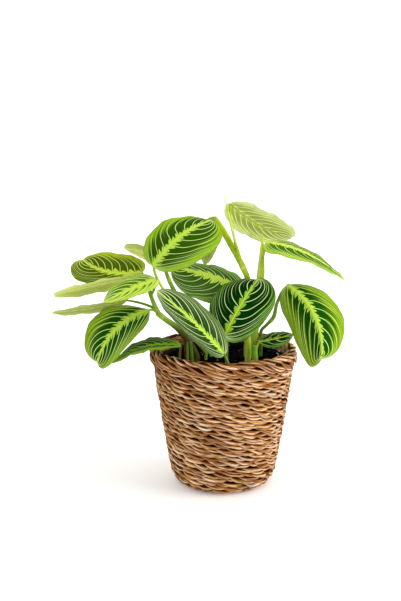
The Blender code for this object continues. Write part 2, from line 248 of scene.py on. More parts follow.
class Wiring:
    """A node tree, with a short call for each kind of node that the finishes share."""

    def __init__(self, tree: bpy.types.NodeTree) -> None:
        """Take hold of a tree."""
        self.tree = tree

    def feed(self, socket: bpy.types.NodeSocket, value: Value) -> None:
        """Link a socket to a signal, or give it a constant.

        Args:
            socket: A node's input.
            value: The signal, number or colour.
        """
        if isinstance(value, Signal):
            self.tree.links.new(value.socket, socket)
        elif socket.type == "RGBA":
            socket.default_value = (*value, 1.0)
        else:
            socket.default_value = value

    def add(self, kind: str, given: dict[Union[int, str], Value],
            output: Union[int, str] = 0, **settings: object) -> Signal:
        """Add a node.

        Args:
            kind: The node's type.
            given: What its inputs are fed, by name or number.
            output: The output that is read.
            settings: The node's options.

        Returns:
            What the node gives.
        """
        node = self.tree.nodes.new(kind)
        for name, value in settings.items():
            setattr(node, name, value)
        for socket, value in given.items():
            self.feed(node.inputs[socket], value)
        return Signal(self, node.outputs[output])

    def math(self, operation: str, first: Value, second: Value = 0.0) -> Signal:
        """Work out one sum of one or two numbers."""
        return self.add("ShaderNodeMath", {0: first, 1: second}, operation=operation)

    def mix(self, share: Value, first: Value, second: Value) -> Signal:
        """Mix two colours."""
        return self.add("ShaderNodeMix", {"Factor": share, 6: first, 7: second}, 2,
                        data_type="RGBA")

    def scale(self, colour: Value, factor: Value) -> Signal:
        """Brighten or darken a colour by a factor."""
        return self.add("ShaderNodeVectorMath", {0: colour, "Scale": factor}, operation="SCALE")

    def vector(self, x: Value, y: Value = 0.0, z: Value = 0.0) -> Signal:
        """Make a vector from three numbers."""
        return self.add("ShaderNodeCombineXYZ", {0: x, 1: y, 2: z})

    def split(self, vector: Signal) -> list[Signal]:
        """Return a vector's three numbers."""
        return [self.add("ShaderNodeSeparateXYZ", {0: vector}, axis) for axis in range(3)]

    def noise(self, place: Value, scale: float = 1.0, detail: float = 2.0,
              rough: float = 0.5) -> Signal:
        """Return soft noise of 0.25 to 0.75, with scale bumps a unit and detail finer layers."""
        return self.add("ShaderNodeTexNoise", {"Vector": place, "Scale": scale, "Detail": detail,
                                               "Roughness": rough}, "Fac")

    def dice(self, place: Value) -> Signal:
        """Return one random number from 0 to 1 for each value of a vector."""
        return self.add("ShaderNodeTexWhiteNoise", {"Vector": place}, "Value",
                        noise_dimensions="3D")

    def attribute(self, name: str) -> Signal:
        """Read a number that is stored on the piece."""
        return self.add("ShaderNodeAttribute", {}, "Fac", attribute_name=name)

    def place(self) -> Signal:
        """Read a point's place in the frame, in metres."""
        return self.add("ShaderNodeTexCoord", {}, "Object")

    def bump(self, height: Value, strength: float, distance: float) -> Signal:
        """Turn a height into a bent normal."""
        return self.add("ShaderNodeBump", {"Height": height, "Strength": strength,
                                           "Distance": distance})


class Paint(Wiring):
    """A material with its node tree and its shader."""

    def __init__(self, name: str) -> None:
        """Start a material.

        Args:
            name: The material's name.
        """
        self.material = bpy.data.materials.new(name)
        self.material.use_nodes = True
        super().__init__(self.material.node_tree)
        self.shader = self.tree.nodes["Principled BSDF"]

    def set(self, name: str, value: Value) -> None:
        """Feed one of the shader's inputs."""
        self.feed(self.shader.inputs[name], value)

    def finish(self, colour: Value, rough: Value, normal: Optional[Signal] = None,
               specular: float = 0.5) -> bpy.types.Material:
        """Feed the shader.

        Args:
            colour: The base colour.
            rough: The roughness.
            normal: The bent normal, if there is one.
            specular: The specular level, the same all over.

        Returns:
            The material.
        """
        self.set("Base Color", colour)
        self.set("Roughness", rough)
        self.set("Specular IOR Level", specular)
        if normal is not None:
            self.set("Normal", normal)
        return self.material


class Pattern(Wiring):
    """A node group that works out a leaf's colour, roughness and height."""

    RESULTS = ("Colour", "Rough", "Height")

    def __init__(self, name: str, colours: Sequence[str], numbers: Sequence[str]) -> None:
        """Start a group.

        Args:
            name: The group's name.
            colours: The names of its colour inputs.
            numbers: The names of its number inputs.
        """
        super().__init__(bpy.data.node_groups.new(name, "ShaderNodeTree"))
        sockets = [(label, "INPUT", "NodeSocketColor") for label in colours]
        sockets += [(label, "INPUT", "NodeSocketFloat") for label in numbers]
        kinds = ("NodeSocketColor", "NodeSocketFloat", "NodeSocketFloat")
        sockets += [(label, "OUTPUT", kind) for label, kind in zip(self.RESULTS, kinds)]
        for label, way, kind in sockets:
            self.tree.interface.new_socket(label, in_out=way, socket_type=kind)
        entry = self.tree.nodes.new("NodeGroupInput")
        self.given = {socket.name: Signal(self, socket)
                      for socket in entry.outputs if socket.name}

    def close(self, *results: Signal) -> bpy.types.NodeTree:
        """Send the results out.

        Args:
            results: The colour, the roughness and the height.

        Returns:
            The group.
        """
        out = self.tree.nodes.new("NodeGroupOutput")
        for name, value in zip(self.RESULTS, results):
            self.feed(out.inputs[name], value)
        return self.tree


# ---------------------------------------------------------------------------------------------
# Leaves
# ---------------------------------------------------------------------------------------------


@dataclass(frozen=True)
class LeafFinish:
    """The colours of a leaf, as screen colours, and how much painted grey sheen, a painted reflection,
    lies on them.
    """

    patch: str
    margin: str
    band: str = "a9cc3c"
    vein: str = "cfe88c"
    rib: str = "c6e266"
    silver: float = 0.0
    under: str = "b3c668"
    under_patch: str = "8f9c52"
    under_vein: str = "dbe58e"
    under_rib: str = "c9d65c"
    under_contrast: float = 0.55


class Tone(Enum):
    """The kinds of leaf colour on the plant."""

    BRIGHT = LeafFinish("2a5000", "82aa0c")
    SUNNY = LeafFinish("3c6c06", "98ba26", band="c2d84c", vein="dcea90")
    FULL = LeafFinish("0f4800", "7c9f14")
    DEEP = LeafFinish("002c00", "508a0a", band="8cb426", vein="d8eea8", silver=0.02)
    # This tone and the next carry the most painted grey sheen, a painted reflection.
    SHEENED = LeafFinish("163c04", "4a6c1c", vein="d8ecaa", silver=0.26)
    GLOSSED = LeafFinish("305c06", "92b840", band="c0dc4c", vein="e2f2b4", silver=0.28)
    OLIVE = LeafFinish("486200", "a6bc0a", band="c6da38", vein="e0ec7c")
    LIME = LeafFinish("4c7800", "a8cc24", band="b4d040", vein="e4f298")
    SHADED = LeafFinish("0a3600", "88b80c", band="7cae1c", vein="b0cc60", rib="9cc838")
    # This tone's bright underside and pale veins are painted light: light shining through the thin
    # leaf from behind, on top of its own pale underside.
    THIN = LeafFinish("2f6a14", "7fae2c", under="c6d66a", under_patch="9cae46",
                      under_vein="f2f8c0", under_rib="96a02c", under_contrast=0.92)
    PALE = LeafFinish("2f6a14", "7fae2c", under="dce678", under_patch="b6c44c",
                      under_vein="f0f6b4", under_rib="e2e892", under_contrast=0.60)
    GREYED = LeafFinish("2f6a14", "7fae2c", under="aab85a", under_patch="84943e",
                        under_vein="d2de96", under_rib="b4c45c", under_contrast=0.65)


@dataclass(frozen=True)
class LeafBlade:
    """One leaf blade, in millimetres and degrees.

    base and tip are the ends of the midrib, and facing is the way the upper side looks.  Pairs
    hold the left half's value and the right half's, seen from above with the tip ahead.  lean is
    how far a vein runs towards the tip on its way to the margin, as a share of the length, and
    wave is the height of the margin's ripple.  patch_reach is where the dark patches end, as a
    share of the half blade.  The light band along the midrib is core wide on each side and has
    that many lobes between two veins, lobe wide.
    """

    node: str
    tone: Tone
    base: Triple
    tip: Triple
    facing: Triple
    width: float
    arch: float = 0.0
    bend: float = 0.0
    twist: float = 0.0
    fold: Pair = (0.0, 0.0)
    base_lobe: Pair = (0.0, 0.0)
    tip_lobe: Pair = (0.0, 0.0)
    widest: Pair = (0.45, 0.45)
    share: Pair = (1.0, 1.0)
    tip_power: float = 0.62
    veins: float = 9.0
    lean: Pair = (0.60, 0.60)
    wave: float = 0.8
    point_length: float = 2.0
    patch_reach: Pair = (0.62, 0.62)
    lobes: float = 2.0
    core: float = 1.8
    lobe: float = 3.0

    BASE_BLUNTNESS = 2.3
    LOBE_WIDEST = 0.45
    LOBE_POWER = 0.62
    MIN_HALF_WIDTH = 0.35
    POINT_POWER = 24
    PLEAT = 0.42
    PLEAT_POWER = 0.8
    PLEAT_AT_MARGIN = 0.4
    RIB_GROOVE = 0.5
    RIB_HALF_WIDTH = 1.3
    RIPPLE_TURNS = (2.4, 3.4)
    RIPPLE_RISE = 2.5
    FINE_RIPPLE = 0.4
    FINE_RIPPLE_TURNS = 2.3
    VEIN_START = 0.30
    VEIN_START_GAIN = 0.55
    VEIN_CURL = 3.4

    @staticmethod
    def outline(u: np.ndarray, widest: np.ndarray, power: float) -> np.ndarray:
        """Return a half blade's width, blunt at the base.

        Args:
            u: Places from base to tip, 0 to 1.
            widest: Where it is widest.
            power: How blunt the tip is; a small number is blunt.

        Returns:
            The width as a share of its greatest.
        """
        lower = np.sqrt(np.clip(1.0 - np.abs((widest - u) / widest) ** LeafBlade.BASE_BLUNTNESS,
                                0.0, 1.0))
        upper = np.clip(1.0 - ((u - widest) / (1.0 - widest)) ** 2, 0.0, 1.0) ** power
        return np.where(u < widest, lower, upper)

    @property
    def length(self) -> float:
        """Return the distance from base to tip."""
        return (Vector(self.tip) - Vector(self.base)).length

    def halves(self, v: np.ndarray, pair: Pair) -> np.ndarray:
        """Return the left or the right half's value for each place across."""
        return np.where(v > 0, pair[1], pair[0])

    def half_width(self, u: np.ndarray, v: np.ndarray) -> np.ndarray:
        """Work out how wide each half of the blade is.

        Args:
            u: Places from base to tip, 0 to 1.
            v: Places across, of which only the side counts.

        Returns:
            The half blade's width in millimetres.
        """
        shape = self.outline(u, self.halves(v, self.widest), self.tip_power)
        return np.maximum(self.width / 2.0 * self.halves(v, self.share) * shape,
                          self.MIN_HALF_WIDTH)

    def middle(self, u: np.ndarray, v: np.ndarray) -> np.ndarray:
        """Return the plain middle surface's points.

        Args:
            u: Places from base to tip, 0 to 1.
            v: Places across, -1 at the left margin to 1 at the right.

        Returns:
            Points in millimetres, with x, y and z on the last axis.
        """
        base = Vector(self.base)
        chord = Vector(self.tip) - base
        along = chord.normalized()
        facing = Vector(self.facing)
        up = (facing - along * facing.dot(along)).normalized()
        across = along.cross(up)
        base, chord, along, across, up = (np.array(w) for w in (base, chord, along, across, up))
        reach = np.abs(v)
        hump = (4.0 * u * (1.0 - u))[..., None]
        midrib = base + chord * u[..., None] + up * (self.arch * hump) + across * (self.bend * hump)
        point = self.point_length * u**self.POINT_POWER * (1.0 - reach)
        midrib = midrib + along * point[..., None]
        turn = (math.radians(self.twist) * (2.0 * u - 1.0))[..., None]
        side = across * np.cos(turn) + up * np.sin(turn)
        lift = up * np.cos(turn) - across * np.sin(turn)
        fold = np.radians(self.halves(v, self.fold))[..., None]
        sign = np.where(v > 0, 1.0, -1.0)[..., None]
        spread = side * sign * np.cos(fold) + lift * np.sin(fold)
        lobe = self.halves(v, self.tip_lobe) * u**3 - self.halves(v, self.base_lobe) * (1.0 - u) ** 3
        ease = np.sqrt(self.outline(u, np.full_like(u, self.LOBE_WIDEST), self.LOBE_POWER))
        sweep = along * (lobe * reach**2 * ease)[..., None]
        return midrib + spread * (self.half_width(u, v) * reach)[..., None] + sweep

    def vein_start(self, u: np.ndarray) -> np.ndarray:
        """Return how steeply the veins leave the midrib, the more so towards the tip."""
        return self.VEIN_START + self.VEIN_START_GAIN * smoothstep(0.35, 1.0, u)

    def vein_lead(self, u: np.ndarray, reach: np.ndarray) -> np.ndarray:
        """Return how far a vein has run towards the tip, as a share of its whole lean."""
        start = self.vein_start(u)
        return start * reach + (1.0 - start) * reach**self.VEIN_CURL

    def vein_slope(self, u: np.ndarray, reach: np.ndarray) -> np.ndarray:
        """Return how fast vein_lead grows across the half blade."""
        start = self.vein_start(u)
        return start + (1.0 - start) * self.VEIN_CURL * reach ** (self.VEIN_CURL - 1.0)

    def vein_phase(self, u: np.ndarray, v: np.ndarray) -> np.ndarray:
        """Return the number of veins passed on the way from the base; a vein is a whole number."""
        return (u - self.halves(v, self.lean) * self.vein_lead(u, np.abs(v))) * self.veins

    def vein_gauge(self, u: np.ndarray, v: np.ndarray) -> np.ndarray:
        """Return the millimetres between neighbouring veins, measured square to them."""
        slant = self.halves(v, self.lean) * self.vein_slope(u, np.abs(v)) * self.length
        return self.length / self.veins / np.sqrt(1.0 + (slant / self.half_width(u, v)) ** 2)

    def relief(self, u: np.ndarray, v: np.ndarray, seed: int) -> np.ndarray:
        """Return how far the surface stands off its plain middle.

        Args:
            u: Places from base to tip, 0 to 1.
            v: Places across, -1 to 1.
            seed: The seed of the margin's ripple.

        Returns:
            The height of the pleats, the midrib's groove and the ripple, in millimetres.
        """
        reach = np.abs(v)
        ends = smoothstep(0.0, 0.12, u) * (1.0 - smoothstep(0.86, 1.0, u))
        swell = np.abs(np.sin(math.pi * self.vein_phase(u, v))) ** self.PLEAT_POWER
        fade = 1.0 - (1.0 - self.PLEAT_AT_MARGIN) * smoothstep(0.6, 1.0, reach)
        pleat = self.PLEAT * swell * ends * smoothstep(0.0, 0.25, reach) * fade
        from_rib = self.half_width(u, v) * reach
        groove = -self.RIB_GROOVE * np.exp(-((from_rib / self.RIB_HALF_WIDTH) ** 2)) * ends
        draw = random.Random(seed)
        turns = draw.uniform(*self.RIPPLE_TURNS)
        starts = self.halves(v, (draw.uniform(0.0, 1.0), draw.uniform(0.0, 1.0)))
        ripple = np.sin(FULL_TURN * (turns * u + starts))
        fine = np.sin(FULL_TURN * (self.FINE_RIPPLE_TURNS * turns * u + starts))
        ripple = ripple + self.FINE_RIPPLE * fine
        return pleat + groove + self.wave * ripple * reach**self.RIPPLE_RISE * ends


@dataclass(frozen=True)
class LeafMap:
    """Where a point lies in a leaf's pattern, as signals for both of its sides.

    u runs from base to tip and reach from the midrib to the margin, and side is 1 on the right.
    phase counts the veins and cell is its share between two of them.  vein_mm, half_mm and
    rib_mm are the distances from the nearest vein, the line halfway between two and the midrib.
    streak and fine are noise that runs along the veins.
    """

    u: Signal
    reach: Signal
    side: Signal
    phase: Signal
    cell: Signal
    vein_mm: Signal
    half_mm: Signal
    rib_mm: Signal
    streak: Signal
    fine: Signal


@dataclass
class Foliage:
    """All the leaves: their meshes and their two-sided finishes."""

    blades: Sequence[LeafBlade]
    thickness: float = 0.55
    steps_along: int = 84
    steps_across: int = 36
    normal_step: float = 0.004
    first_seed: int = 11
    vein_wander: float = 0.45
    half_shift: float = 0.35
    # the colour of the painted grey sheen, a painted reflection
    sheen_tint: str = "94aa6a"
    index_of_refraction: float = 1.25
    specular: float = 0.03

    WAY = "leaf_way"

    def build(self) -> None:
        """Make, dress and seat every leaf."""
        for seed, blade in enumerate(self.blades, start=self.first_seed):
            leaf = self.shape(blade, seed)
            clad(leaf, (self.upper_finish(blade, seed), self.under_finish(blade, seed)))
            apply_modifiers(leaf)
            settle(leaf, blade.node)

    def shape(self, blade: LeafBlade, seed: int) -> bpy.types.Object:
        """Bend a flat sheet into one leaf and give it its thickness.

        Args:
            blade: The leaf's sizes.
            seed: The seed of its ripple.

        Returns:
            The leaf, with its pattern's numbers stored on it and its thickness still to apply.
        """
        deselect()
        bpy.ops.mesh.primitive_grid_add(x_subdivisions=self.steps_along,
                                        y_subdivisions=self.steps_across, size=2.0)
        leaf = bpy.context.active_object
        flat = np.zeros(len(leaf.data.vertices) * 3)
        leaf.data.vertices.foreach_get("co", flat)
        flat = flat.reshape(-1, 3)
        u = (1.0 - np.cos(math.pi * (flat[:, 0] + 1.0) / 2.0)) / 2.0
        v = np.clip(flat[:, 1], -1.0, 1.0)
        v = np.where(np.abs(v) < 1e-6, 0.0, v)
        step = self.normal_step
        ahead = blade.middle(np.minimum(u + step, 1.0), v) - blade.middle(np.maximum(u - step, 0), v)
        aside = blade.middle(u, np.minimum(v + step, 1.0)) - blade.middle(u, np.maximum(v - step, -1))
        up = np.cross(aside, ahead)
        up /= np.maximum(np.linalg.norm(up, axis=1, keepdims=True), 1e-9)
        facing = np.array(Vector(blade.facing))
        up *= np.where(up @ facing < 0.0, -1.0, 1.0)[:, None]
        points = blade.middle(u, v) + up * blade.relief(u, v, seed)[:, None]
        leaf.data.vertices.foreach_set("co", (points * MM).ravel())
        self.store_pattern(leaf, blade, u, v)
        leaf.data.shade_smooth()
        self.face_up(leaf, facing)
        wall = leaf.modifiers.new("blade_wall", "SOLIDIFY")
        wall.thickness = self.thickness * MM
        wall.offset = 0.0
        wall.use_even_offset = False
        wall.material_offset = 1
        wall.material_offset_rim = 0
        return leaf

    def store_pattern(self, leaf: bpy.types.Object, blade: LeafBlade, u: np.ndarray,
                      v: np.ndarray) -> None:
        """Store what the finishes read: places, the vein count and distances.

        Args:
            leaf: The flat sheet, bent.
            blade: The leaf's sizes.
            u: Each vertex's place from base to tip, 0 to 1.
            v: Each vertex's place across, -1 to 1.
        """
        way = leaf.data.uv_layers.active
        way.name = self.WAY
        corners = np.zeros(len(leaf.data.loops), dtype=np.int32)
        leaf.data.loops.foreach_get("vertex_index", corners)
        spots = np.stack((u[corners], (v[corners] + 1.0) / 2.0), axis=1)
        way.data.foreach_set("uv", spots.ravel())
        set_attribute(leaf, "vein_phase", blade.vein_phase(u, v))
        set_attribute(leaf, "vein_gauge", blade.vein_gauge(u, v))
        set_attribute(leaf, "from_rib", np.abs(v) * blade.half_width(u, v))

    def face_up(self, leaf: bpy.types.Object, facing: np.ndarray) -> None:
        """Turn the sheet's faces to the leaf's upper side.

        Args:
            leaf: The sheet.
            facing: The way the upper side looks.
        """
        leaf.data.update()
        total = np.zeros(3)
        for face in leaf.data.polygons:
            total += np.array(face.normal) * face.area
        if total @ facing < 0.0:
            leaf.data.flip_normals()

    def read_map(self, w: Pattern) -> LeafMap:
        """Read a leaf's stored numbers and work out what both of its sides share.

        Args:
            w: The pattern's wiring.

        Returns:
            The places and the noise.
        """
        seed = w.given["Seed"]
        u, across, _ = w.split(w.add("ShaderNodeUVMap", {}, uv_map=self.WAY))
        signed = across * 2.0 - 1.0
        reach = w.math("ABSOLUTE", signed)
        side = w.math("GREATER_THAN", signed, 0.0)
        wander = w.noise(w.vector(u * 3.0, signed * 1.5, seed), detail=0.0) - 0.5
        phase = w.attribute("vein_phase") + wander * self.vein_wander + side * self.half_shift
        cell = w.math("FRACT", phase)
        gauge = w.attribute("vein_gauge")
        return LeafMap(
            u, reach, side, phase, cell,
            vein_mm=w.math("MINIMUM", cell, 1.0 - cell) * gauge,
            half_mm=w.math("ABSOLUTE", cell - 0.5) * gauge,
            rib_mm=w.attribute("from_rib"),
            streak=w.noise(w.vector(phase * 9.0, reach * 2.2, seed), detail=3.0),
            fine=w.noise(w.vector(phase * 26.0, reach * 3.0, seed)))

    def wire_band(self, w: Pattern, at: LeafMap) -> Signal:
        """Wire the jagged band along the midrib.

        Args:
            w: The pattern's wiring.
            at: Where a point lies in the pattern.

        Returns:
            The band's mask.
        """
        count = at.phase * w.given["Lobes"]
        here = w.math("FRACT", count)
        luck = w.dice(w.vector(w.math("FLOOR", count), at.side, w.given["Seed"]))
        swell = here.ease(0.04, 0.62) * here.ease(0.70, 0.97, 1.0, 0.0) * (luck * 0.75 + 0.55)
        fray = (at.fine - 0.5) * 1.2 + swell
        width = fray * w.given["Lobe"] + w.given["Core"]
        width = width * at.u.ease(0.35, 1.0, 1.0, 0.35) * at.u.ease(0.0, 0.10, 0.55, 1.0)
        return (at.rib_mm - width).ease(-0.25, 0.25, 1.0, 0.0)

    def wire_tissue(self, w: Pattern, at: LeafMap) -> Signal:
        """Wire the upper side between the veins: dark patches, a light margin and a painted grey
        sheen, a painted reflection.

        Args:
            w: The pattern's wiring.
            at: Where a point lies in the pattern.

        Returns:
            The colour.
        """
        belly = w.math("SINE", at.cell * math.pi)
        edge = belly * -0.20 + at.reach + (at.streak - 0.5) * 1.15
        limit = at.side.ease(0.0, 1.0, w.given["Left Reach"], w.given["Right Reach"])
        rim = w.math("MAXIMUM", (edge - limit).ease(-0.24, 0.10), at.u.ease(0.12, 0.0, 0.0, 0.7))
        stripe = at.fine.ease(0.34, 0.66, 0.72, 1.28) * at.streak.ease(0.3, 0.7, 0.85, 1.15)
        colour = w.scale(w.mix(rim, w.given["Patch"], w.given["Margin"]), stripe)
        # painted reflection: grey sheen streaks towards the margins, mixed into the colour
        sheen = w.given["Silver"] * at.fine.ease(0.40, 0.62) * at.reach.ease(0.25, 0.9, 0.35, 1.0)
        return w.mix(sheen, colour, w.given["Silver Tint"])

    @cached_property
    def upper_group(self) -> bpy.types.NodeTree:
        """Wire the upper side: tissue, thin veins, the jagged band, cream veins and the rib.

        Returns:
            The group.
        """
        w = Pattern("leaf_upper_pattern",
                    ("Patch", "Margin", "Band", "Vein", "Rib", "Silver Tint"),
                    ("Silver", "Left Reach", "Right Reach", "Lobes", "Core", "Lobe", "Seed"))
        at = self.read_map(w)
        cream = w.given["Vein"]
        colour = self.wire_tissue(w, at)
        luck = w.dice(w.vector(w.math("FLOOR", at.phase), at.side, w.given["Seed"]))
        thin = at.half_mm.ease(0.06, 0.34, 1.0, 0.0) * luck.ease(0.40, 0.70)
        colour = w.mix(thin * at.reach.ease(0.25, 0.7) * 0.50, colour, cream)
        band_colour = w.scale(w.given["Band"], at.fine.ease(0.3, 0.7, 0.84, 1.16))
        colour = w.mix(self.wire_band(w, at), colour, band_colour)
        half = at.reach.ease(0.0, 1.0, 0.40, 0.22)
        vein = (at.vein_mm - half).ease(-0.16, 0.22, 1.0, 0.0) * at.reach.ease(0.62, 0.98, 1.0, 0.15)
        colour = w.mix(vein * 0.92 * at.rib_mm.ease(0.5, 4.0, 0.35, 1.0), colour, cream)
        rib = at.rib_mm.ease(0.25, 0.70, 1.0, 0.0)
        colour = w.mix(rib * 0.70, colour, w.given["Rib"])
        colour = w.scale(colour, at.reach.ease(0.965, 0.99, 1.0, 0.72))
        height = at.fine * 0.35 + at.streak * 0.45 + vein * -0.25
        return w.close(colour, at.fine.ease(0.3, 0.7, 0.40, 0.52), height)

    @cached_property
    def under_group(self) -> bpy.types.NodeTree:
        """Wire the under side: pale tissue, faint patches, raised light veins and the rib.

        Returns:
            The group.
        """
        w = Pattern("leaf_under_pattern", ("Tissue", "Patch", "Vein", "Rib"),
                    ("Contrast", "Lobes", "Core", "Lobe", "Seed"))
        at = self.read_map(w)
        contrast = w.given["Contrast"]
        edge = (at.streak - 0.5) * 0.55 + at.reach
        patch = edge.ease(0.40, 0.82, 1.0, 0.0) * (1.0 - self.wire_band(w, at) * 0.85) * contrast
        colour = w.mix(patch, w.given["Tissue"], w.given["Patch"])
        colour = w.scale(colour, at.streak.ease(0.3, 0.7, 0.88, 1.10))
        colour = w.scale(colour, at.fine.ease(0.3, 0.7, 0.92, 1.07))
        vein = at.vein_mm.ease(0.25, 0.75, 1.0, 0.0)
        colour = w.mix(vein * (contrast * 0.7 + 0.2), colour, w.given["Vein"])
        rib = at.rib_mm.ease(0.35, 1.1, 1.0, 0.0)
        colour = w.mix(rib * 0.85, colour, w.given["Rib"])
        height = vein * 0.5 + at.streak * 0.4
        return w.close(colour, at.fine.ease(0.3, 0.7, 0.52, 0.66), height)

    def patterned(self, blade: LeafBlade, seed: int, side: str, group: bpy.types.NodeTree,
                  colours: dict[str, str], numbers: dict[str, float]) -> bpy.types.Material:
        """Make a material from one of the leaf groups.

        Args:
            blade: The leaf.
            seed: A number that shifts its noise.
            side: The side of the leaf, for the material's name.
            group: The upper or the under pattern.
            colours: The group's colour inputs by name, as screen colours.
            numbers: Its number inputs by name, apart from those that both sides share.

        Returns:
            The material.
        """
        w = Paint(f"{blade.node}_{side}")
        pattern = w.tree.nodes.new("ShaderNodeGroup")
        pattern.node_tree = group
        given = {label: shade(code) for label, code in colours.items()}
        given |= numbers
        given |= {"Lobes": blade.lobes, "Core": blade.core, "Lobe": blade.lobe, "Seed": seed}
        for label, value in given.items():
            w.feed(pattern.inputs[label], value)
        colour, rough, height = (Signal(w, pattern.outputs[label]) for label in Pattern.RESULTS)
        w.set("IOR", self.index_of_refraction)
        return w.finish(colour, rough, w.bump(height, 0.7, 0.0006), self.specular)

    def upper_finish(self, blade: LeafBlade, seed: int) -> bpy.types.Material:
        """Make a leaf's upper material.

        Args:
            blade: The leaf.
            seed: A number that shifts its noise.

        Returns:
            The material.
        """
        finish = blade.tone.value
        left, right = blade.patch_reach
        return self.patterned(
            blade, seed, "upper", self.upper_group,
            {"Patch": finish.patch, "Margin": finish.margin, "Band": finish.band,
             "Vein": finish.vein, "Rib": finish.rib, "Silver Tint": self.sheen_tint},
            {"Silver": finish.silver, "Left Reach": left, "Right Reach": right})

    def under_finish(self, blade: LeafBlade, seed: int) -> bpy.types.Material:
        """Make a leaf's under material.

        Args:
            blade: The leaf.
            seed: A number that shifts its noise.

        Returns:
            The material.
        """
        finish = blade.tone.value
        return self.patterned(
            blade, seed, "under", self.under_group,
            {"Tissue": finish.under, "Patch": finish.under_patch, "Vein": finish.under_vein,
             "Rib": finish.under_rib},
            {"Contrast": finish.under_contrast})


BLADES = (
    LeafBlade("leaf_upper_left", Tone.BRIGHT, (-85, -30, 280), (-17, 26, 327),
              (-0.35, -0.75, 0.55), 80, arch=11, bend=-1, fold=(-4, -12), base_lobe=(4, 4),
              tip_lobe=(0, 12), widest=(0.50, 0.58), share=(0.93, 1.06), lean=(0.48, 0.72),
              veins=8.5, patch_reach=(0.62, 0.66), core=2.8, lobe=4.4),
    LeafBlade("leaf_top_right", Tone.THIN, (8, 30, 348), (86, 70, 299), (0.10, 0.80, 0.60), 56,
              arch=2, bend=-8, fold=(-5, -5), base_lobe=(6, 0), tip_lobe=(4, 8),
              widest=(0.50, 0.60), share=(0.90, 0.98), tip_power=0.50, wave=1.6),
    LeafBlade("leaf_right_upper", Tone.SUNNY, (53, 10, 303), (146, -20, 260),
              (0.45, -0.16, 0.90), 44, arch=9, twist=14, fold=(4, -10), base_lobe=(0, 4),
              widest=(0.50, 0.20), share=(0.72, 1.28), tip_power=0.60, patch_reach=(0.9, 0.60),
              point_length=1.5),
    LeafBlade("leaf_right_hanging", Tone.FULL, (78, -10, 253), (117, -44, 168),
              (0.35, -0.80, 0.45), 76, arch=12, bend=-9, fold=(-4, -60), base_lobe=(0, 2),
              tip_lobe=(3, 13), widest=(0.62, 0.50), tip_power=0.36, lean=(0.55, 0.75),
              point_length=-5.0, patch_reach=(0.50, 0.52), veins=8, core=2.4, lobe=4.6),
    LeafBlade("leaf_front_right", Tone.DEEP, (1, -42, 199), (41, 0, 257), (-0.10, -0.75, 0.60),
              74, arch=10, bend=1, fold=(-6, -12), base_lobe=(0, 14), tip_lobe=(0, 18), veins=7,
              widest=(0.45, 0.60), share=(1.0, 0.96), lobes=1, core=1.4, lobe=4.3,
              lean=(0.55, 0.75), patch_reach=(0.88, 0.82)),
    LeafBlade("leaf_front_centre", Tone.SHEENED, (-1, -60, 179), (-79, -66, 256),
              (0.20, -0.60, 0.75), 52, arch=5, fold=(12, 6), base_lobe=(2, 6), tip_lobe=(2, 2),
              veins=7.5, patch_reach=(1.1, 0.9), core=1.8, lobe=3.6),
    LeafBlade("leaf_back_centre", Tone.GLOSSED, (18, 14, 246), (-63, 30, 268), (0.0, -0.45, 0.90),
              76, arch=6, bend=-2, fold=(-20, -14), base_lobe=(8, 8), tip_lobe=(4, 0),
              widest=(0.45, 0.30), share=(1.0, 0.88), lobes=1, core=3.2, lobe=6.4,
              veins=8, patch_reach=(0.9, 0.85)),
    LeafBlade("leaf_left_upper", Tone.OLIVE, (-100, 14, 264), (-178, 56, 273),
              (-0.20, -0.45, 0.85), 62, arch=2, bend=-13, fold=(4, 0), tip_lobe=(24, 2),
              widest=(0.62, 0.48), share=(1.0, 1.15), lobes=1, core=2.0, lobe=4.6,
              patch_reach=(1.0, 0.72)),
    LeafBlade("leaf_left_long", Tone.PALE, (-95, -12, 265), (-204, -36, 246), (0.0, 0.50, 0.85),
              44, arch=1, fold=(-8, -8), tip_power=0.4, share=(1.15, 1.0), point_length=0.0),
    LeafBlade("leaf_left_bright", Tone.LIME, (-81, -35.4, 264.6), (-141, -64, 243),
              (0.10, -0.40, 0.90), 34, arch=2, fold=(-16, 10), base_lobe=(4, 0),
              widest=(0.28, 0.40), share=(0.75, 1.0), veins=7, patch_reach=(0.35, 0.85)),
    LeafBlade("leaf_left_lower", Tone.GREYED, (-118, -16, 235), (-207, -32, 223),
              (0.0, 0.50, 0.85), 34, arch=-2, fold=(-4, -4)),
    LeafBlade("leaf_left_hanging", Tone.FULL, (-89, -37, 228), (-151, -62, 170),
              (-0.10, -0.70, 0.60), 70, arch=9, bend=9, fold=(-10, -8), base_lobe=(-10, -8),
              tip_lobe=(10, 8), widest=(0.60, 0.62), share=(0.70, 1.0), tip_power=0.40,
              point_length=0.0, patch_reach=(0.66, 0.56), core=2.2, lobe=4.2),
    LeafBlade("leaf_over_rim", Tone.SHADED, (-52, -38, 184), (-134, -36, 162),
              (-0.10, -0.10, 0.95), 46, arch=10, fold=(4, 4), patch_reach=(0.5, 1.0)),
    LeafBlade("leaf_small_right", Tone.DEEP, (43, -12, 182), (86, -4, 190), (0.0, -0.35, 0.90),
              30, arch=1, bend=2, fold=(4, -8), share=(0.82, 1.0), tip_power=0.80, veins=4,
              wave=0.4, core=1.1, lobe=1.8, patch_reach=(0.75, 0.70)),
    LeafBlade("leaf_back_left", Tone.PALE, (-73, 30, 278), (-125, 62, 287), (0.0, 0.60, 0.72),
              46, arch=2, fold=(-4, -4), veins=7, wave=0.3),
    LeafBlade("leaf_top_back", Tone.GREYED, (-10, 50, 329), (-23, 76, 264), (0.30, 0.70, 0.50),
              28, arch=6, bend=-3, fold=(-10, -10), wave=0.5),
)


# ---------------------------------------------------------------------------------------------
# Tubes: the shape that stems, strands and rootlets share
# ---------------------------------------------------------------------------------------------


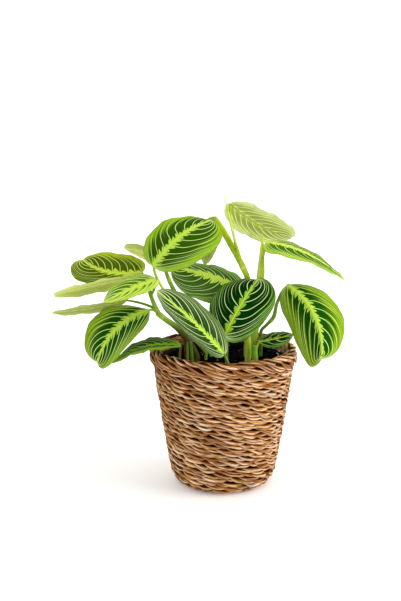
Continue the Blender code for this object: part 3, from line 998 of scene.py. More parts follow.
def swept_mesh(name: str, rings: np.ndarray, closed: bool,
               numbers: Optional[dict[str, np.ndarray]] = None) -> bpy.types.Object:
    """Skin a run of rings into a tube.

    Args:
        name: The object's name.
        rings: Points in millimetres, shaped (rings, points a ring, 3).
        closed: Whether the last ring meets the first; if not, both ends are capped.
        numbers: Numbers to store on the vertices, each shaped (rings, points a ring).

    Returns:
        The tube, its faces outwards, with a UV map of rings and turns.
    """
    count, sides = rings.shape[:2]
    spans = count if closed else count - 1
    low = np.arange(spans)[:, None] * sides
    high = (np.arange(spans)[:, None] + 1) % count * sides
    here = np.arange(sides)[None, :]
    there = (here + 1) % sides
    quads = np.stack((low + here, low + there, high + there, high + here), axis=-1).reshape(-1, 4)
    faces = quads.tolist()
    if not closed:
        faces.append(list(range(sides))[::-1])
        faces.append(list(range((count - 1) * sides, count * sides)))
    mesh = bpy.data.meshes.new(name)
    mesh.from_pydata((rings.reshape(-1, 3) * MM).tolist(), [], faces)
    way = mesh.uv_layers.new(name="strand_way")
    run = np.repeat(np.arange(spans), sides)
    turn = np.tile(np.arange(sides), spans)
    spots = np.stack((
        np.stack((run, run, run + 1, run + 1), axis=1) / max(count - 1, 1),
        np.stack((turn, turn + 1, turn + 1, turn), axis=1) / sides,
    ), axis=-1).reshape(-1, 2)
    ends = np.zeros((len(mesh.loops) - len(spots), 2))
    way.data.foreach_set("uv", np.concatenate((spots, ends)).ravel())
    mesh.shade_smooth()
    item = new_object(name, mesh)
    for label, values in (numbers or {}).items():
        set_attribute(item, label, values)
    face_out(item)
    return item


def face_out(item: bpy.types.Object) -> None:
    """Point all of a closed mesh's faces outwards.

    Args:
        item: The object.
    """
    bm = bmesh.new()
    bm.from_mesh(item.data)
    bmesh.ops.recalc_face_normals(bm, faces=bm.faces[:])
    bm.to_mesh(item.data)
    bm.free()


def round_rings(centres: np.ndarray, radii: np.ndarray, angle: np.ndarray) -> np.ndarray:
    """Lay rings square to a route, without a twist between them.

    Args:
        centres: The route's points.
        radii: Each ring's radius, or that of each of its points.
        angle: Where a ring's points lie round it.

    Returns:
        The rings' points, shaped (rings, points a ring, 3).
    """
    ahead = np.roll(centres, -1, axis=0) - np.roll(centres, 1, axis=0)
    ahead[0] = centres[1] - centres[0]
    ahead[-1] = centres[-1] - centres[-2]
    ahead /= np.linalg.norm(ahead, axis=1, keepdims=True)
    side = np.array((1.0, 0.0, 0.0))
    sides = np.zeros_like(centres)
    for k, way in enumerate(ahead):
        side = side - way * (side @ way)
        side = side / np.linalg.norm(side)
        sides[k] = side
    others = np.cross(ahead, sides)
    around = sides[:, None] * np.cos(angle)[None, :, None]
    around = around + others[:, None] * np.sin(angle)[None, :, None]
    return centres[:, None] + around * radii[..., None]


def smooth_route(points: Sequence[Sequence[float]], steps: int) -> np.ndarray:
    """Return a smooth curve through points.

    Args:
        points: Rows of numbers, such as x, y, z and radius.
        steps: The number of steps between neighbouring points.

    Returns:
        The rows read from the curve, ending with the last point.
    """
    rows = np.array(points, dtype=float)
    padded = np.concatenate((rows[:1], rows, rows[-1:]))
    out = []
    for before, start, stop, after in zip(padded, padded[1:], padded[2:], padded[3:]):
        for t in np.arange(steps) / steps:
            out.append(0.5 * (2.0 * start + (stop - before) * t
                              + (2.0 * before - 5.0 * start + 4.0 * stop - after) * t**2
                              + (3.0 * start - before - 3.0 * stop + after) * t**3))
    out.append(rows[-1])
    return np.array(out)


# ---------------------------------------------------------------------------------------------
# Stems
# ---------------------------------------------------------------------------------------------


@dataclass(frozen=True)
class StemFinish:
    """The colours of a stem: its sunny and its shaded side, its joints and its seam.

    Below the foot height, in millimetres, its foot is painted brown and near black: the brown of old
    dry sheaths, darkened by painted shade where the leaves above shade it.
    """

    light: str
    dark: str
    joint: str = "dfe26a"
    seam: float = 0.0
    rough: float = 0.45
    foot: str = "644a22"
    foot_shadow: str = "1e1406"
    shaded_foot_height: float = 0.0


class StemTone(Enum):
    """The kinds of stem on the plant."""

    FRESH = StemFinish("bcd22c", "96b21c")
    RIPE = StemFinish("90b03a", "688c16", joint="c8d460", shaded_foot_height=212.0)
    OLIVE = StemFinish("8aa646", "6a8a26", joint="a6cc4a")
    SHEATH = StemFinish("bcce34", "7ea410", seam=1.0)
    DUSKY = StemFinish("86984a", "5f7a2c", joint="a89a5a")
    GREEN = StemFinish("7fb02e", "4c8418", joint="b8d060")
    DRY = StemFinish("9c6f35", "5b3a1a", joint="6f4a22", rough=0.8)
    SPEAR = StemFinish("d0d878", "b0bd4e", joint="e2e0a0", seam=0.8)


@dataclass(frozen=True)
class Run:
    """One run of stem: points in millimetres, each with its radius.

    joints are the places along the run, from 0 to 1, where a leaf once grew and it swells.
    """

    route: Route
    rooted: bool = True
    joints: Steps = ()


@dataclass(frozen=True)
class Shoot:
    """A stem with its side runs, one piece that grew."""

    node: str
    tone: StemTone
    runs: tuple[Run, ...]


@dataclass
class Stems:
    """All the stems and stalks, in millimetres.

    A rooted run's foot stands in a socket in the soil, and every run ends in a dome.
    """

    shoots: Sequence[Shoot]
    soil_top: float = 158.0
    socket_depth: float = 12.0
    socket_gap: float = 0.3
    foot_straight: float = 3.0
    sides: int = 14
    steps: int = 6
    least_radius: float = 0.15
    joint_swell: float = 0.10
    joint_length: float = 2.2
    pale_joint_length: float = 1.76
    ridges: float = 5.0
    ridge_height: float = 0.025
    dome: Steps = (0.92, 0.70, 0.35)
    dome_height: float = 0.6
    foot_rag: float = 30.0
    foot_shade_fade: float = 14.0
    foot_shade_strength: float = 0.9
    seam_colour: str = "8d6a3c"
    sheath_lit_side: str = "dbe08a"
    specular: float = 0.14

    def build(self) -> None:
        """Make, dress and seat every stem."""
        finishes = {tone: self.dress(tone) for tone in StemTone}
        for shoot in self.shoots:
            stem = self.shape(shoot)
            clad(stem, (finishes[shoot.tone],))
            settle(stem, shoot.node)

    def shape(self, shoot: Shoot) -> bpy.types.Object:
        """Sweep a shoot's runs and grow them together.

        Args:
            shoot: The stem.

        Returns:
            The stem as one mesh.
        """
        trunk, *branches = [self.tube(f"{shoot.node}_run", run) for run in shoot.runs]
        for branch in branches:
            growth = trunk.modifiers.new("branch", "BOOLEAN")
            growth.operation = "UNION"
            growth.solver = "EXACT"
            growth.object = branch
        apply_modifiers(trunk)
        for branch in branches:
            bpy.data.objects.remove(branch, do_unlink=True)
        trunk.data.shade_smooth()
        return trunk

    def tube(self, name: str, run: Run) -> bpy.types.Object:
        """Sweep one run, with domed ends, swollen joints and low ridges.

        Args:
            name: The tube's name.
            run: The run.

        Returns:
            The tube, with its length, its turn and its joints stored on it.
        """
        rows = [list(point) for point in run.route]
        if run.rooted:
            x, y, _, radius = rows[0]
            deep = self.soil_top - self.socket_depth + self.socket_gap
            foot = (deep, self.soil_top, self.soil_top + self.foot_straight)
            rows = [[x, y, z, radius] for z in foot] + rows
        path = smooth_route(rows, self.steps)
        centres, radii = path[:, :3], np.maximum(path[:, 3], self.least_radius)
        gone = distances(centres)
        for place in run.joints:
            radii = radii * (1.0 + self.joint_swell * self.near(gone, place, self.joint_length))
        centres, radii, gone = self.round_ends(centres, radii, gone)
        angle = even_angles(self.sides)
        ridge = 1.0 + self.ridge_height * np.cos(self.ridges * angle)[None, :]
        joint = sum((self.near(gone, place, self.pale_joint_length) for place in run.joints),
                    np.zeros_like(gone))
        spread = np.ones((len(gone), self.sides))
        numbers = {
            "run_mm": gone[:, None] * spread,
            "run_turn": np.cos(angle)[None, :] * spread,
            "run_joint": np.clip(joint, 0.0, 1.0)[:, None] * spread,
        }
        return swept_mesh(name, round_rings(centres, radii[:, None] * ridge, angle), False, numbers)

    @staticmethod
    def near(gone: np.ndarray, place: float, length: float) -> np.ndarray:
        """Return a soft bump of 0 to 1 on the points of a run; its place is a share of it."""
        return np.exp(-(((gone - place * gone[-1]) / length) ** 2))

    def round_ends(self, centres: np.ndarray, radii: np.ndarray,
                   gone: np.ndarray) -> tuple[np.ndarray, np.ndarray, np.ndarray]:
        """Add shrinking rings at both ends, so that a run ends in a dome.

        Args:
            centres: The run's points.
            radii: Its radius at each.
            gone: How far along it each lies.

        Returns:
            The three with the rings added.
        """
        caps = np.array(self.dome)
        rise = np.sqrt(1.0 - caps**2)
        foot, tip = (centres[end] + self.ahead(centres[near], centres[end])
                     * (rise * radii[end] * self.dome_height)[:, None]
                     for end, near in ((0, 1), (-1, -2)))
        centres = np.concatenate((foot[::-1], centres, tip))
        radii = np.concatenate(((caps * radii[0])[::-1], radii, caps * radii[-1]))
        gone = np.concatenate((np.zeros(len(caps)), gone, np.full(len(caps), gone[-1])))
        return centres, radii, gone

    @staticmethod
    def ahead(start: np.ndarray, end: np.ndarray) -> np.ndarray:
        """Return the way from one point to another."""
        return (end - start) / np.linalg.norm(end - start)

    def dress(self, tone: StemTone) -> bpy.types.Material:
        """Make the material of one kind of stem: ribs, mottling, pale joints, a seam with a painted
        lit side, and a foot darkened by painted shade.

        Args:
            tone: The kind of stem.

        Returns:
            The material.
        """
        finish = tone.value
        w = Paint(f"stem_{tone.name.lower()}")
        turn, place = w.attribute("run_turn"), w.place()
        rib = w.noise(w.vector(turn * 9.0, w.attribute("run_mm") * 0.05))
        mottle = w.noise(place, 260.0, 3.0)
        share = rib * 0.6 + w.noise(place, 45.0, 1.0) * 0.6
        colour = w.mix(share.ease(0.42, 0.80), shade(finish.light), shade(finish.dark))
        colour = w.scale(colour, mottle.ease(0.3, 0.7, 0.88, 1.10))
        if finish.seam:
            seam = w.math("ABSOLUTE", turn + 0.25).ease(0.03, 0.10, 1.0, 0.0)
            colour = w.mix(seam * (0.55 * finish.seam), colour, shade(self.seam_colour))
            # painted light: one side of the sheath, beside its seam, painted paler as if lit
            lit = turn.ease(-0.30, -0.18, 1.0, 0.0)
            colour = w.mix(lit * 0.45, colour, shade(self.sheath_lit_side))
        colour = w.mix(w.attribute("run_joint") * 0.8, colour, shade(finish.joint))
        # painted shade: below the foot height the stem turns brown and near black for the leaves'
        # shade on it, mixed with the brown of old sheaths
        if finish.shaded_foot_height:
            height = (rib - 0.5) * (self.foot_rag * MM) + w.split(place)[2]
            top = finish.shaded_foot_height * MM
            low = height.ease(top, top - self.foot_shade_fade * MM, 0.0, self.foot_shade_strength)
            husk = w.mix(rib.ease(0.35, 0.65), shade(finish.foot_shadow), shade(finish.foot))
            colour = w.mix(low, colour, husk)
        rough = rib.ease(0.3, 0.7, finish.rough - 0.06, finish.rough + 0.08)
        return w.finish(colour, rough, w.bump(rib + mottle, 0.45, 0.0004), self.specular)


SHOOTS = (
    Shoot("left_stem", StemTone.RIPE, (
        Run(((-34, -18, 166, 4.2), (-42, -20, 182, 4.0), (-56, -24, 202, 3.8),
             (-71, -27, 214, 3.4), (-80, -29, 222, 3.6)), joints=(0.93,)),
        Run(((-78, -29, 220, 3.0), (-83, -30, 230, 2.8), (-88, -29, 243, 2.5),
             (-92, -25, 257, 1.9)), rooted=False, joints=(0.7,)),
        Run(((-79, -29, 221, 2.0), (-84, -32, 226, 1.6), (-88.8, -37.2, 228.0, 1.3)),
            rooted=False),
        Run(((-82, -28, 227, 1.8), (-94, -23, 231, 1.6), (-106, -19, 233.6, 1.5),
             (-118.2, -16.2, 235.2, 1.2)), rooted=False),
        Run(((-88, -29, 244, 1.8), (-84, -31, 252, 1.5), (-80.9, -35.2, 264.3, 1.3)),
            rooted=False),
        Run(((-90, -28, 250, 1.7), (-96, -12, 253, 1.5), (-100, 6, 257, 1.4),
             (-100, 13.6, 263.4, 1.3)), rooted=False),
        Run(((-92, -25, 256, 1.7), (-93.6, -18, 261, 1.5), (-95.4, -12.4, 264.6, 1.2)),
            rooted=False),
    )),
    Shoot("upper_left_stalk", StemTone.FRESH, (
        Run(((-22, -4, 166, 1.8), (-32, -8, 180, 1.8), (-48, -14, 204, 1.7),
             (-63, -22, 231, 1.6), (-74, -27, 252, 1.6), (-82, -30, 268, 1.7),
             (-84.8, -30.2, 279.6, 1.5)), joints=(0.88,)),
    )),
    Shoot("back_left_stalk", StemTone.OLIVE, (
        Run(((-16, 8, 166, 2.2), (-24, 6, 180, 2.4), (-42, 3, 208, 2.6), (-63, 8, 246, 2.7),
             (-72, 20, 266, 2.2), (-73, 29.6, 277.8, 1.4)), joints=(0.80,)),
    )),
    Shoot("tall_stem", StemTone.FRESH, (
        Run(((29.5, 8.5, 170, 4.0), (31.5, 14, 205, 3.8), (34, 17, 232, 3.6), (30, 16, 255, 3.4),
             (24, 15, 270, 3.8), (20, 18, 278, 3.6)), joints=(0.93,)),
        Run(((22, 16, 274, 3.4), (9, 30, 297, 4.0), (-3, 41, 317, 3.7),
             (-9.6, 49.4, 328.8, 1.6)), rooted=False),
        Run(((22, 16, 274, 2.4), (16, 22, 295, 2.0), (12, 25, 311, 1.6), (8.4, 28.2, 334, 1.3),
             (8.0, 29.6, 347.6, 1.2)), rooted=False, joints=(0.5,)),
    )),
    Shoot("new_leaf_spike", StemTone.SPEAR, (
        Run(((16.5, 18.6, 296, 1.0), (11.6, 20.6, 311, 1.4), (5.6, 20, 336, 1.5),
             (2.6, 19, 350, 0.8), (1, 18, 366, 0.25)), rooted=False),
    )),
    Shoot("centre_sheath", StemTone.SHEATH, (
        Run(((35, 0, 166, 4.2), (37, 1, 180, 4.2), (41, 3, 207, 4.4), (45, 8, 256, 5.0),
             (46.4, 9, 284, 3.4), (47, 10, 304, 1.6), (47, 10, 313, 0.5))),
        Run(((47, 8.6, 282, 2.0), (50.2, 9.4, 293, 1.6), (53.0, 10, 302.6, 1.4)), rooted=False),
    )),
    Shoot("right_stalk", StemTone.OLIVE, (
        Run(((47, 14, 166, 2.1), (46.4, 10, 180, 2.1), (47, 7, 192, 2.1), (54, 3, 201, 2.1),
             (62, 2, 211, 2.6), (66, 8, 226, 2.1), (73, 12, 241, 1.9), (79, 3, 250, 1.7),
             (78.4, -9.4, 253.0, 1.4)), joints=(0.50,)),
    )),
    Shoot("front_right_stalk", StemTone.GREEN, (
        Run(((3, -28, 166, 1.9), (3, -31, 184, 1.8), (1.2, -41.6, 198.8, 1.4))),
    )),
    Shoot("front_stalk", StemTone.DUSKY, (
        Run(((5, -59.5, 164, 1.7), (3.4, -60, 170, 1.6), (-0.8, -60, 179.0, 1.4))),
    )),
    Shoot("back_stalk", StemTone.GREEN, (
        Run(((4, 12, 166, 1.9), (7, 12, 190, 1.8), (14, 13, 222, 1.7), (17.8, 13.9, 245.4, 1.5))),
    )),
    Shoot("rim_leaf_stalk", StemTone.DUSKY, (
        Run(((-54, -36, 164, 1.6), (-53.4, -37, 174, 1.5), (-52.2, -38, 183.8, 1.3))),
    )),
    Shoot("small_leaf_stalk", StemTone.FRESH, (
        Run(((38, -16, 165, 1.5), (40, -14.4, 174, 1.5), (43.0, -12.1, 181.8, 1.2))),
    )),
    Shoot("brown_old_stem", StemTone.DRY, (
        Run(((-46, -8, 166, 2.3), (-47, -9, 180, 2.2), (-48, -10, 190, 1.2))),
    )),
    Shoot("green_stub_small", StemTone.DUSKY, (
        Run(((-44, -40, 166, 1.5), (-44, -40, 178, 1.5), (-44.4, -40, 189, 0.9))),
    )),
    Shoot("green_stub_large", StemTone.GREEN, (
        Run(((-39, -32, 166, 2.0), (-39.6, -32, 178, 1.9), (-40.6, -32, 187, 1.3))),
    )),
    Shoot("pointed_sheath", StemTone.SHEATH, (
        Run(((29, -26, 166, 3.6), (29.4, -26, 180, 3.6), (29.6, -26.4, 192, 2.4),
             (29.4, -27, 201, 0.5))),
    )),
    Shoot("cut_stub", StemTone.GREEN, (
        Run(((37.4, -36, 166, 3.5), (37, -36, 176, 3.4), (36.6, -36, 182, 3.4))),
    )),
)


# ---------------------------------------------------------------------------------------------
# Basket
# ---------------------------------------------------------------------------------------------


@dataclass(frozen=True)
class SeagrassFinish:
    """The colours of dried seagrass, as screen colours, and how rough it is; the bleached colour is
    also the painted highlight, and the shadow and recess colours are painted shade.
    """

    husk: str = "ca8c44"
    ripe: str = "9c5e20"
    green: str = "a48630"
    bleached_and_highlight: str = "ffe8ce"
    shadow: str = "561a00"
    recess_shade: str = "260a00"
    rough: float = 0.60
    specular: float = 0.04

    def dress(self) -> bpy.types.Material:
        """Make the material: mixed strands, fibres along each, a painted highlight on the lower part
        of each strand's face, and painted shade along its upper edge and in the recesses.

        Returns:
            The material.
        """
        w = Paint("woven_seagrass")
        run, turn = w.attribute("strand_run"), w.attribute("strand_turn")
        tone, edge = w.attribute("strand_tone"), w.attribute("strand_edge")
        chance = tone * 40.0
        streak = w.noise(w.vector(turn * 1.7, run * 0.06, chance), 1.0, 3.0, 0.60)
        fibre = w.noise(w.vector(turn * 5.5, run * 0.10, chance), 1.0, 4.0, 0.62)
        colour = self.tissue(w, tone, streak, fibre)
        # painted highlight: a pale band on the lower part of each strand's face, where light would
        # catch it
        ridge = edge.ease(0.30, -0.30) * edge.ease(-1.0, -0.62)
        painted_shine = ridge * streak.ease(0.40, 0.62) * tone.ease(0.95, 0.35, 0.35, 1.0)
        colour = w.mix(painted_shine * 0.86, colour, shade(self.bleached_and_highlight))
        # painted shade: darker where a strand lies deep in the weave, along its upper edge under the
        # row above, and at its very lower edge
        deep = w.attribute("strand_depth")
        painted_edge_shade = w.math("MAXIMUM", edge.ease(0.14, 0.86, 0.0, 0.95),
                        edge.ease(-0.80, -1.0, 0.0, 0.60))
        painted_shade = w.math("MAXIMUM", deep.ease(0.06, 0.46, 0.0, 0.96), painted_edge_shade)
        colour = w.mix(painted_shade, colour, shade(self.shadow))
        # painted shade: near black in the deepest recesses
        colour = w.mix(deep.ease(0.50, 0.90), colour, shade(self.recess_shade))
        rough = fibre.ease(0.3, 0.7, self.rough - 0.10, self.rough + 0.16)
        return w.finish(colour, rough, w.bump(fibre, 0.9, 0.0010), self.specular)

    def tissue(self, w: Paint, tone: Signal, streak: Signal, fibre: Signal) -> Signal:
        """Wire the plain colour of a strand.

        Args:
            w: The material's wiring.
            tone: How ripe the strand is, 0 to 1.
            streak: Broad noise along the strand.
            fibre: Fine noise along it.

        Returns:
            The colour.
        """
        tint = w.attribute("strand_tint")
        blotch = w.noise(w.place(), 60.0, 3.0)
        colour = w.mix(tone.ease(0.10, 0.90), shade(self.husk), shade(self.ripe))
        colour = w.mix(tint.ease(0.60, 1.0, 0.0, 0.50), colour, shade(self.green))
        colour = w.mix(tint.ease(0.05, 0.0, 0.0, 0.75), colour, shade(self.bleached_and_highlight))
        colour = w.scale(colour, streak.ease(0.32, 0.68, 0.54, 1.30))
        colour = w.scale(colour, fibre.ease(0.30, 0.70, 0.76, 1.20))
        return w.scale(colour, blotch.ease(0.32, 0.68, 0.84, 1.14))


@dataclass(frozen=True)
class Strand:
    """One flattened strand of the basket.

    centre, high and deep have a row for each point of its route: its middle, the way across its
    width and the way through its thickness.  width, tone and tint are one number or one a
    point, and depth is one number or one a vertex.  tone runs from 0 light to 1 dark, tint from
    0 bleached to 1 green, and depth, which is how deep in shade the strand lies, from 0 to 1.
    """

    name: str
    centre: np.ndarray
    high: np.ndarray
    deep: np.ndarray
    width: Reading
    thickness: float
    tone: Reading
    tint: Reading
    depth: Reading
    closed: bool = True

    SIDES = 6
    FLAT_SIDE = 0.8
    FLAT_FACE = 0.9
    TURN_ACROSS = 1.3
    TURN_THROUGH = 0.2

    @classmethod
    def section(cls) -> tuple[np.ndarray, np.ndarray]:
        """Work out the rounded section.

        Returns:
            Its points' places across the width and through the thickness, each from -1 to 1.
        """
        turn = even_angles(cls.SIDES)
        across = np.sign(np.cos(turn)) * np.abs(np.cos(turn)) ** cls.FLAT_SIDE
        through = np.sign(np.sin(turn)) * np.abs(np.sin(turn)) ** cls.FLAT_FACE
        return across, through

    def build(self) -> bpy.types.Object:
        """Sweep the strand and store the numbers that its finish reads.

        Returns:
            The strand.
        """
        across, through = self.section()
        width, tone, tint = (np.reshape(number, (-1, 1))
                             for number in (self.width, self.tone, self.tint))
        rings = (self.centre[:, None] + self.high[:, None] * (width / 2.0 * across)[..., None]
                 + self.deep[:, None] * (self.thickness / 2.0 * through)[..., None])
        spread = np.ones(rings.shape[:2])
        numbers = {
            "strand_run": distances(self.centre)[:, None] * spread,
            "strand_turn": (across * self.TURN_ACROSS + self.TURN_THROUGH * through) * spread,
            "strand_tone": tone * spread,
            "strand_tint": tint * spread,
            "strand_edge": across * spread,
            "strand_depth": self.depth * spread,
        }
        return swept_mesh(self.name, rings, self.closed, numbers)


@dataclass(frozen=True)
class Twist:
    """How three strands are twisted into a row, each over two and under one.

    Lengths are millimetres.  out, up and bulk follow one strand through a turn in eight even
    steps: it comes out from under the row above, slopes down over its neighbour and tucks in
    behind.  swing and rise scale out and up.  wobble moves the whole row up and down, and
    scatter each strand a turn at a time.
    """

    turn_length: float
    width: float
    thickness: float
    plies: int = 1
    steps: int = 14
    wobble: float = 0.85
    scatter: float = 1.0
    swing: float = 1.0
    rise: float = 1.0
    out: Steps = (0.3, 1.7, 2.5, 2.5, 1.8, 0.5, -1.7, -1.6)
    up: Steps = (3.7, 2.1, 0.3, -1.1, -2.0, -2.1, -0.6, 2.5)
    bulk: Steps = (0.40, 0.70, 0.95, 1.0, 0.88, 0.62, 0.55, 0.42)

    STRANDS = 3
    TUCK = 0.22
    TURN_DRIFT = 0.05
    BULK_SPREAD = 0.26
    LIFT_SPREAD = 0.35
    TILT_SPREAD = 0.16
    PLY_GAP = 0.86
    PLY_STEP = 0.35
    PLY_TONE = 0.12

    def follow(self, turn: np.ndarray, steps: Sequence[float]) -> np.ndarray:
        """Return a smooth reading of one of the runs of numbers.

        Args:
            turn: How many turns have gone at each point.
            steps: The numbers at even steps through one turn.

        Returns:
            The reading at each point.
        """
        marks = np.array(steps)
        place = (turn - np.floor(turn)) * len(marks)
        here = np.floor(place).astype(int)
        share = place - here
        before, first, second, after = (marks[(here + shift) % len(marks)]
                                        for shift in (-1, 0, 1, 2))
        bend = (second - before) * share
        bend += (2.0 * before - 5.0 * first + 4.0 * second - after) * share ** 2
        bend += (3.0 * first - before - 3.0 * second + after) * share ** 3
        return first + bend / 2.0

    def draws(self, draw: random.Random, turns: int, turn: np.ndarray,
              size: float) -> np.ndarray:
        """Draw one number a turn, up to size either way; it changes where a strand tucks in."""
        marks = np.array([draw.uniform(-size, size) for _ in range(turns)])
        return marks[np.floor(turn + self.TUCK).astype(int) % turns]

    @staticmethod
    def loop_noise(draw: random.Random, angle: np.ndarray, waves: int,
                   size: float) -> np.ndarray:
        """Return smooth noise that closes on itself round the basket.

        Args:
            draw: Where its starts come from.
            angle: The places round the basket.
            waves: How many waves its broadest layer has.
            size: About how high it goes.

        Returns:
            The noise at each place.
        """
        total = np.zeros_like(angle)
        for turns in (waves, waves + 2, 2 * waves + 1):
            total += np.sin(turns * angle + draw.uniform(0.0, FULL_TURN))
        return total * size / 1.7


@dataclass(frozen=True)
class Row:
    """One row of the weave, in millimetres.

    along is the way up the weave, as its parts outwards and upwards, and start is how far its
    first strand is into a turn where the row begins.
    """

    number: int
    radius: float
    height: float
    along: Pair
    start: float

    SHINGLE = 0.32
    FIRST_SEED = 1000
    SHADE_START = 1.7
    SHADE_DEPTH = 2.6
    ROW_WAVES = 5
    STRAND_WAVES = 7

    def twine(self, twist: Twist) -> list[bpy.types.Object]:
        """Twist three strands round each other, once round the basket.

        Args:
            twist: How the strands lie in the row.

        Returns:
            The strands.
        """
        draw = random.Random(self.FIRST_SEED + self.number)
        turns = max(1, round(FULL_TURN * self.radius / twist.turn_length))
        angle = even_angles(turns * twist.steps)
        out, up = outward(angle), upward(len(angle))
        rise = out * self.along[0] + up * self.along[1]
        face = out * self.along[1] - up * self.along[0]
        middle = out * self.radius + up * self.height
        through = Strand.section()[1]
        wobble = twist.loop_noise(draw, angle, self.ROW_WAVES, twist.wobble)
        strands = []
        for number in range(twist.STRANDS):
            turn = turns * angle / FULL_TURN + number / twist.STRANDS + self.start
            turn = turn + twist.loop_noise(draw, angle, self.STRAND_WAVES, twist.TURN_DRIFT)
            bulk, lift, scatter, tone, tint, tilt = (
                twist.draws(draw, turns, turn, size)
                for size in (twist.BULK_SPREAD, twist.LIFT_SPREAD, twist.scatter, 0.5, 0.5,
                             twist.TILT_SPREAD))
            bulk = twist.follow(turn, twist.bulk) * (1.0 + bulk)
            fall = twist.follow(turn, twist.up) * twist.rise + wobble + scatter
            reach = twist.follow(turn, twist.out) * twist.swing
            tilt = (self.SHINGLE * np.sign(reach) + tilt)[:, None]
            high = rise * np.cos(tilt) - face * np.sin(tilt)
            deep = face * np.cos(tilt) + rise * np.sin(tilt)
            surface = reach[:, None] + through * twist.thickness / 2.0
            depth = np.clip((self.SHADE_START - surface) / self.SHADE_DEPTH, 0.0, 1.0)
            for ply in range(twist.plies):
                aside = (ply - (twist.plies - 1) / 2.0) * twist.width * twist.PLY_GAP
                centre = middle + face * (reach + lift - twist.PLY_STEP * ply)[:, None]
                centre = centre + rise * (fall + aside * bulk)[:, None]
                strand = Strand(f"row_{self.number}_{number}_{ply}", centre, high, deep,
                                twist.width * bulk, twist.thickness,
                                tone + 0.5 + twist.PLY_TONE * ply, tint + 0.5, depth)
                strands.append(strand.build())
        return strands


@dataclass
class Basket:
    """The woven seagrass basket: a base and a wall of twisted rows, and a border.

    Sizes are millimetres, and a strand is given by its width and its thickness.
    """

    stakes: int = 24
    row_pitch: float = 5.75
    top_margin: float = 0.45
    row_step: float = 1.0 / 6.0
    drift: float = 0.12
    wall_inset: float = 3.6
    wall_bottom: float = 7.0
    base_height: float = 3.9
    base_inner: tuple[Pair, ...] = ((4.0, 0.0), (24.0, 0.0), (46.0, 0.0), (52.5, 0.9),
                                    (56.0, 3.8))
    wall_foot: Pair = (59.8, 13.0)
    outer: tuple[Pair, ...] = ((20.0, 66.0), (52.0, 72.0), (99.0, 79.5), (130.0, 84.0),
                               (157.2, 87.5))
    profile_steps: int = 24
    hub_points: int = 44
    hub_turn: float = 14.0
    hub_radii: Pair = (0.8, 5.4)
    hub_strand: Pair = (2.2, 3.0)
    rod_strand: Pair = (3.2, 1.6)
    rod_inset: float = 0.8
    rod_stride: int = 6
    wall_twist: Twist = Twist(46.0, 4.7, 2.4, steps=15)
    base_twist: Twist = Twist(36.0, 5.0, 2.0, swing=0.70, rise=0.7, wobble=0.3, scatter=0.4)
    finish: SeagrassFinish = SeagrassFinish()

    ROW_SEED = 4
    HUB_SEED = 7
    FIRST_ROD_SEED = 500

    def build(self) -> None:
        """Make, dress and seat the base, the wall and the border."""
        material = self.finish.dress()
        base_rows, wall_rows = self.rows()
        pieces = {
            "basket_base": base_rows + [self.hub()],
            "basket_wall": wall_rows + self.stake_rods(),
            "basket_rim": Border().build(),
        }
        for node, strands in pieces.items():
            piece = join(node, strands)
            clad(piece, (material,))
            settle(piece, node)

    def profile(self) -> np.ndarray:
        """Work out the middle of the weave, from the centre of the base out and up the wall.

        Returns:
            Points as radius and height.
        """
        inner = [(radius, self.base_height + rise) for radius, rise in self.base_inner]
        wall = [(radius - self.wall_inset, height) for height, radius in self.outer]
        return smooth_route(inner + [self.wall_foot] + wall, self.profile_steps)

    def rows(self) -> tuple[list[bpy.types.Object], list[bpy.types.Object]]:
        """Twist all the rows, spaced evenly down the profile.

        Returns:
            The strands of the base and those of the wall.
        """
        path = self.profile()
        gone = distances(path)
        draw = random.Random(self.ROW_SEED)
        start = 0.0
        base, wall = [], []
        for number in range(int(gone[-1] / self.row_pitch)):
            start += self.row_step + draw.uniform(-self.drift, self.drift)
            place = gone[-1] - (number + self.top_margin) * self.row_pitch
            here, later = (np.array([np.interp(at, gone, path[:, k]) for k in (0, 1)])
                           for at in (place, place + 2.0))
            along = (later - here) / math.hypot(*(later - here))
            row = Row(number, float(here[0]), float(here[1]), tuple(along), start)
            if row.height > self.wall_bottom:
                wall.extend(row.twine(self.wall_twist))
            else:
                base.extend(row.twine(self.base_twist))
        return base, wall

    def hub(self) -> bpy.types.Object:
        """Close the middle of the base with a small wound coil.

        Returns:
            The coil.
        """
        draw = random.Random(self.HUB_SEED)
        out = outward(FULL_TURN * np.arange(self.hub_points) / self.hub_turn)
        up = upward(self.hub_points)
        radius = np.linspace(*self.hub_radii, self.hub_points)
        centre = out * radius[:, None] + up * self.base_height
        # a depth of 0.1 paints a little painted shade on the coil
        return Strand("hub", centre, out, -up, *self.hub_strand, tone=draw.random(),
                      tint=draw.random(), depth=0.1, closed=False).build()

    def stake_rods(self) -> list[bpy.types.Object]:
        """Stand a rod at every stake, between the inner and the outer passes of the weave.

        Returns:
            The rods.
        """
        path = self.profile()
        path = path[path[:, 1] > self.wall_bottom + 1.0][::self.rod_stride]
        count = len(path)
        rods = []
        for stake in range(self.stakes):
            draw = random.Random(self.FIRST_ROD_SEED + stake)
            angle = np.full(count, FULL_TURN * (stake + 0.5) / self.stakes)
            out = outward(angle)
            side = np.stack((-out[:, 1], out[:, 0], out[:, 2]), axis=1)
            centre = out * (path[:, :1] - self.rod_inset) + upward(count) * path[:, 1:]
            # a depth of 0.7 paints each rod in painted shade, as it stands inside the weave
            rods.append(Strand(f"stake_{stake}", centre, side, out, *self.rod_strand,
                               tone=draw.random(), tint=draw.random(), depth=0.7,
                               closed=False).build())
        return rods


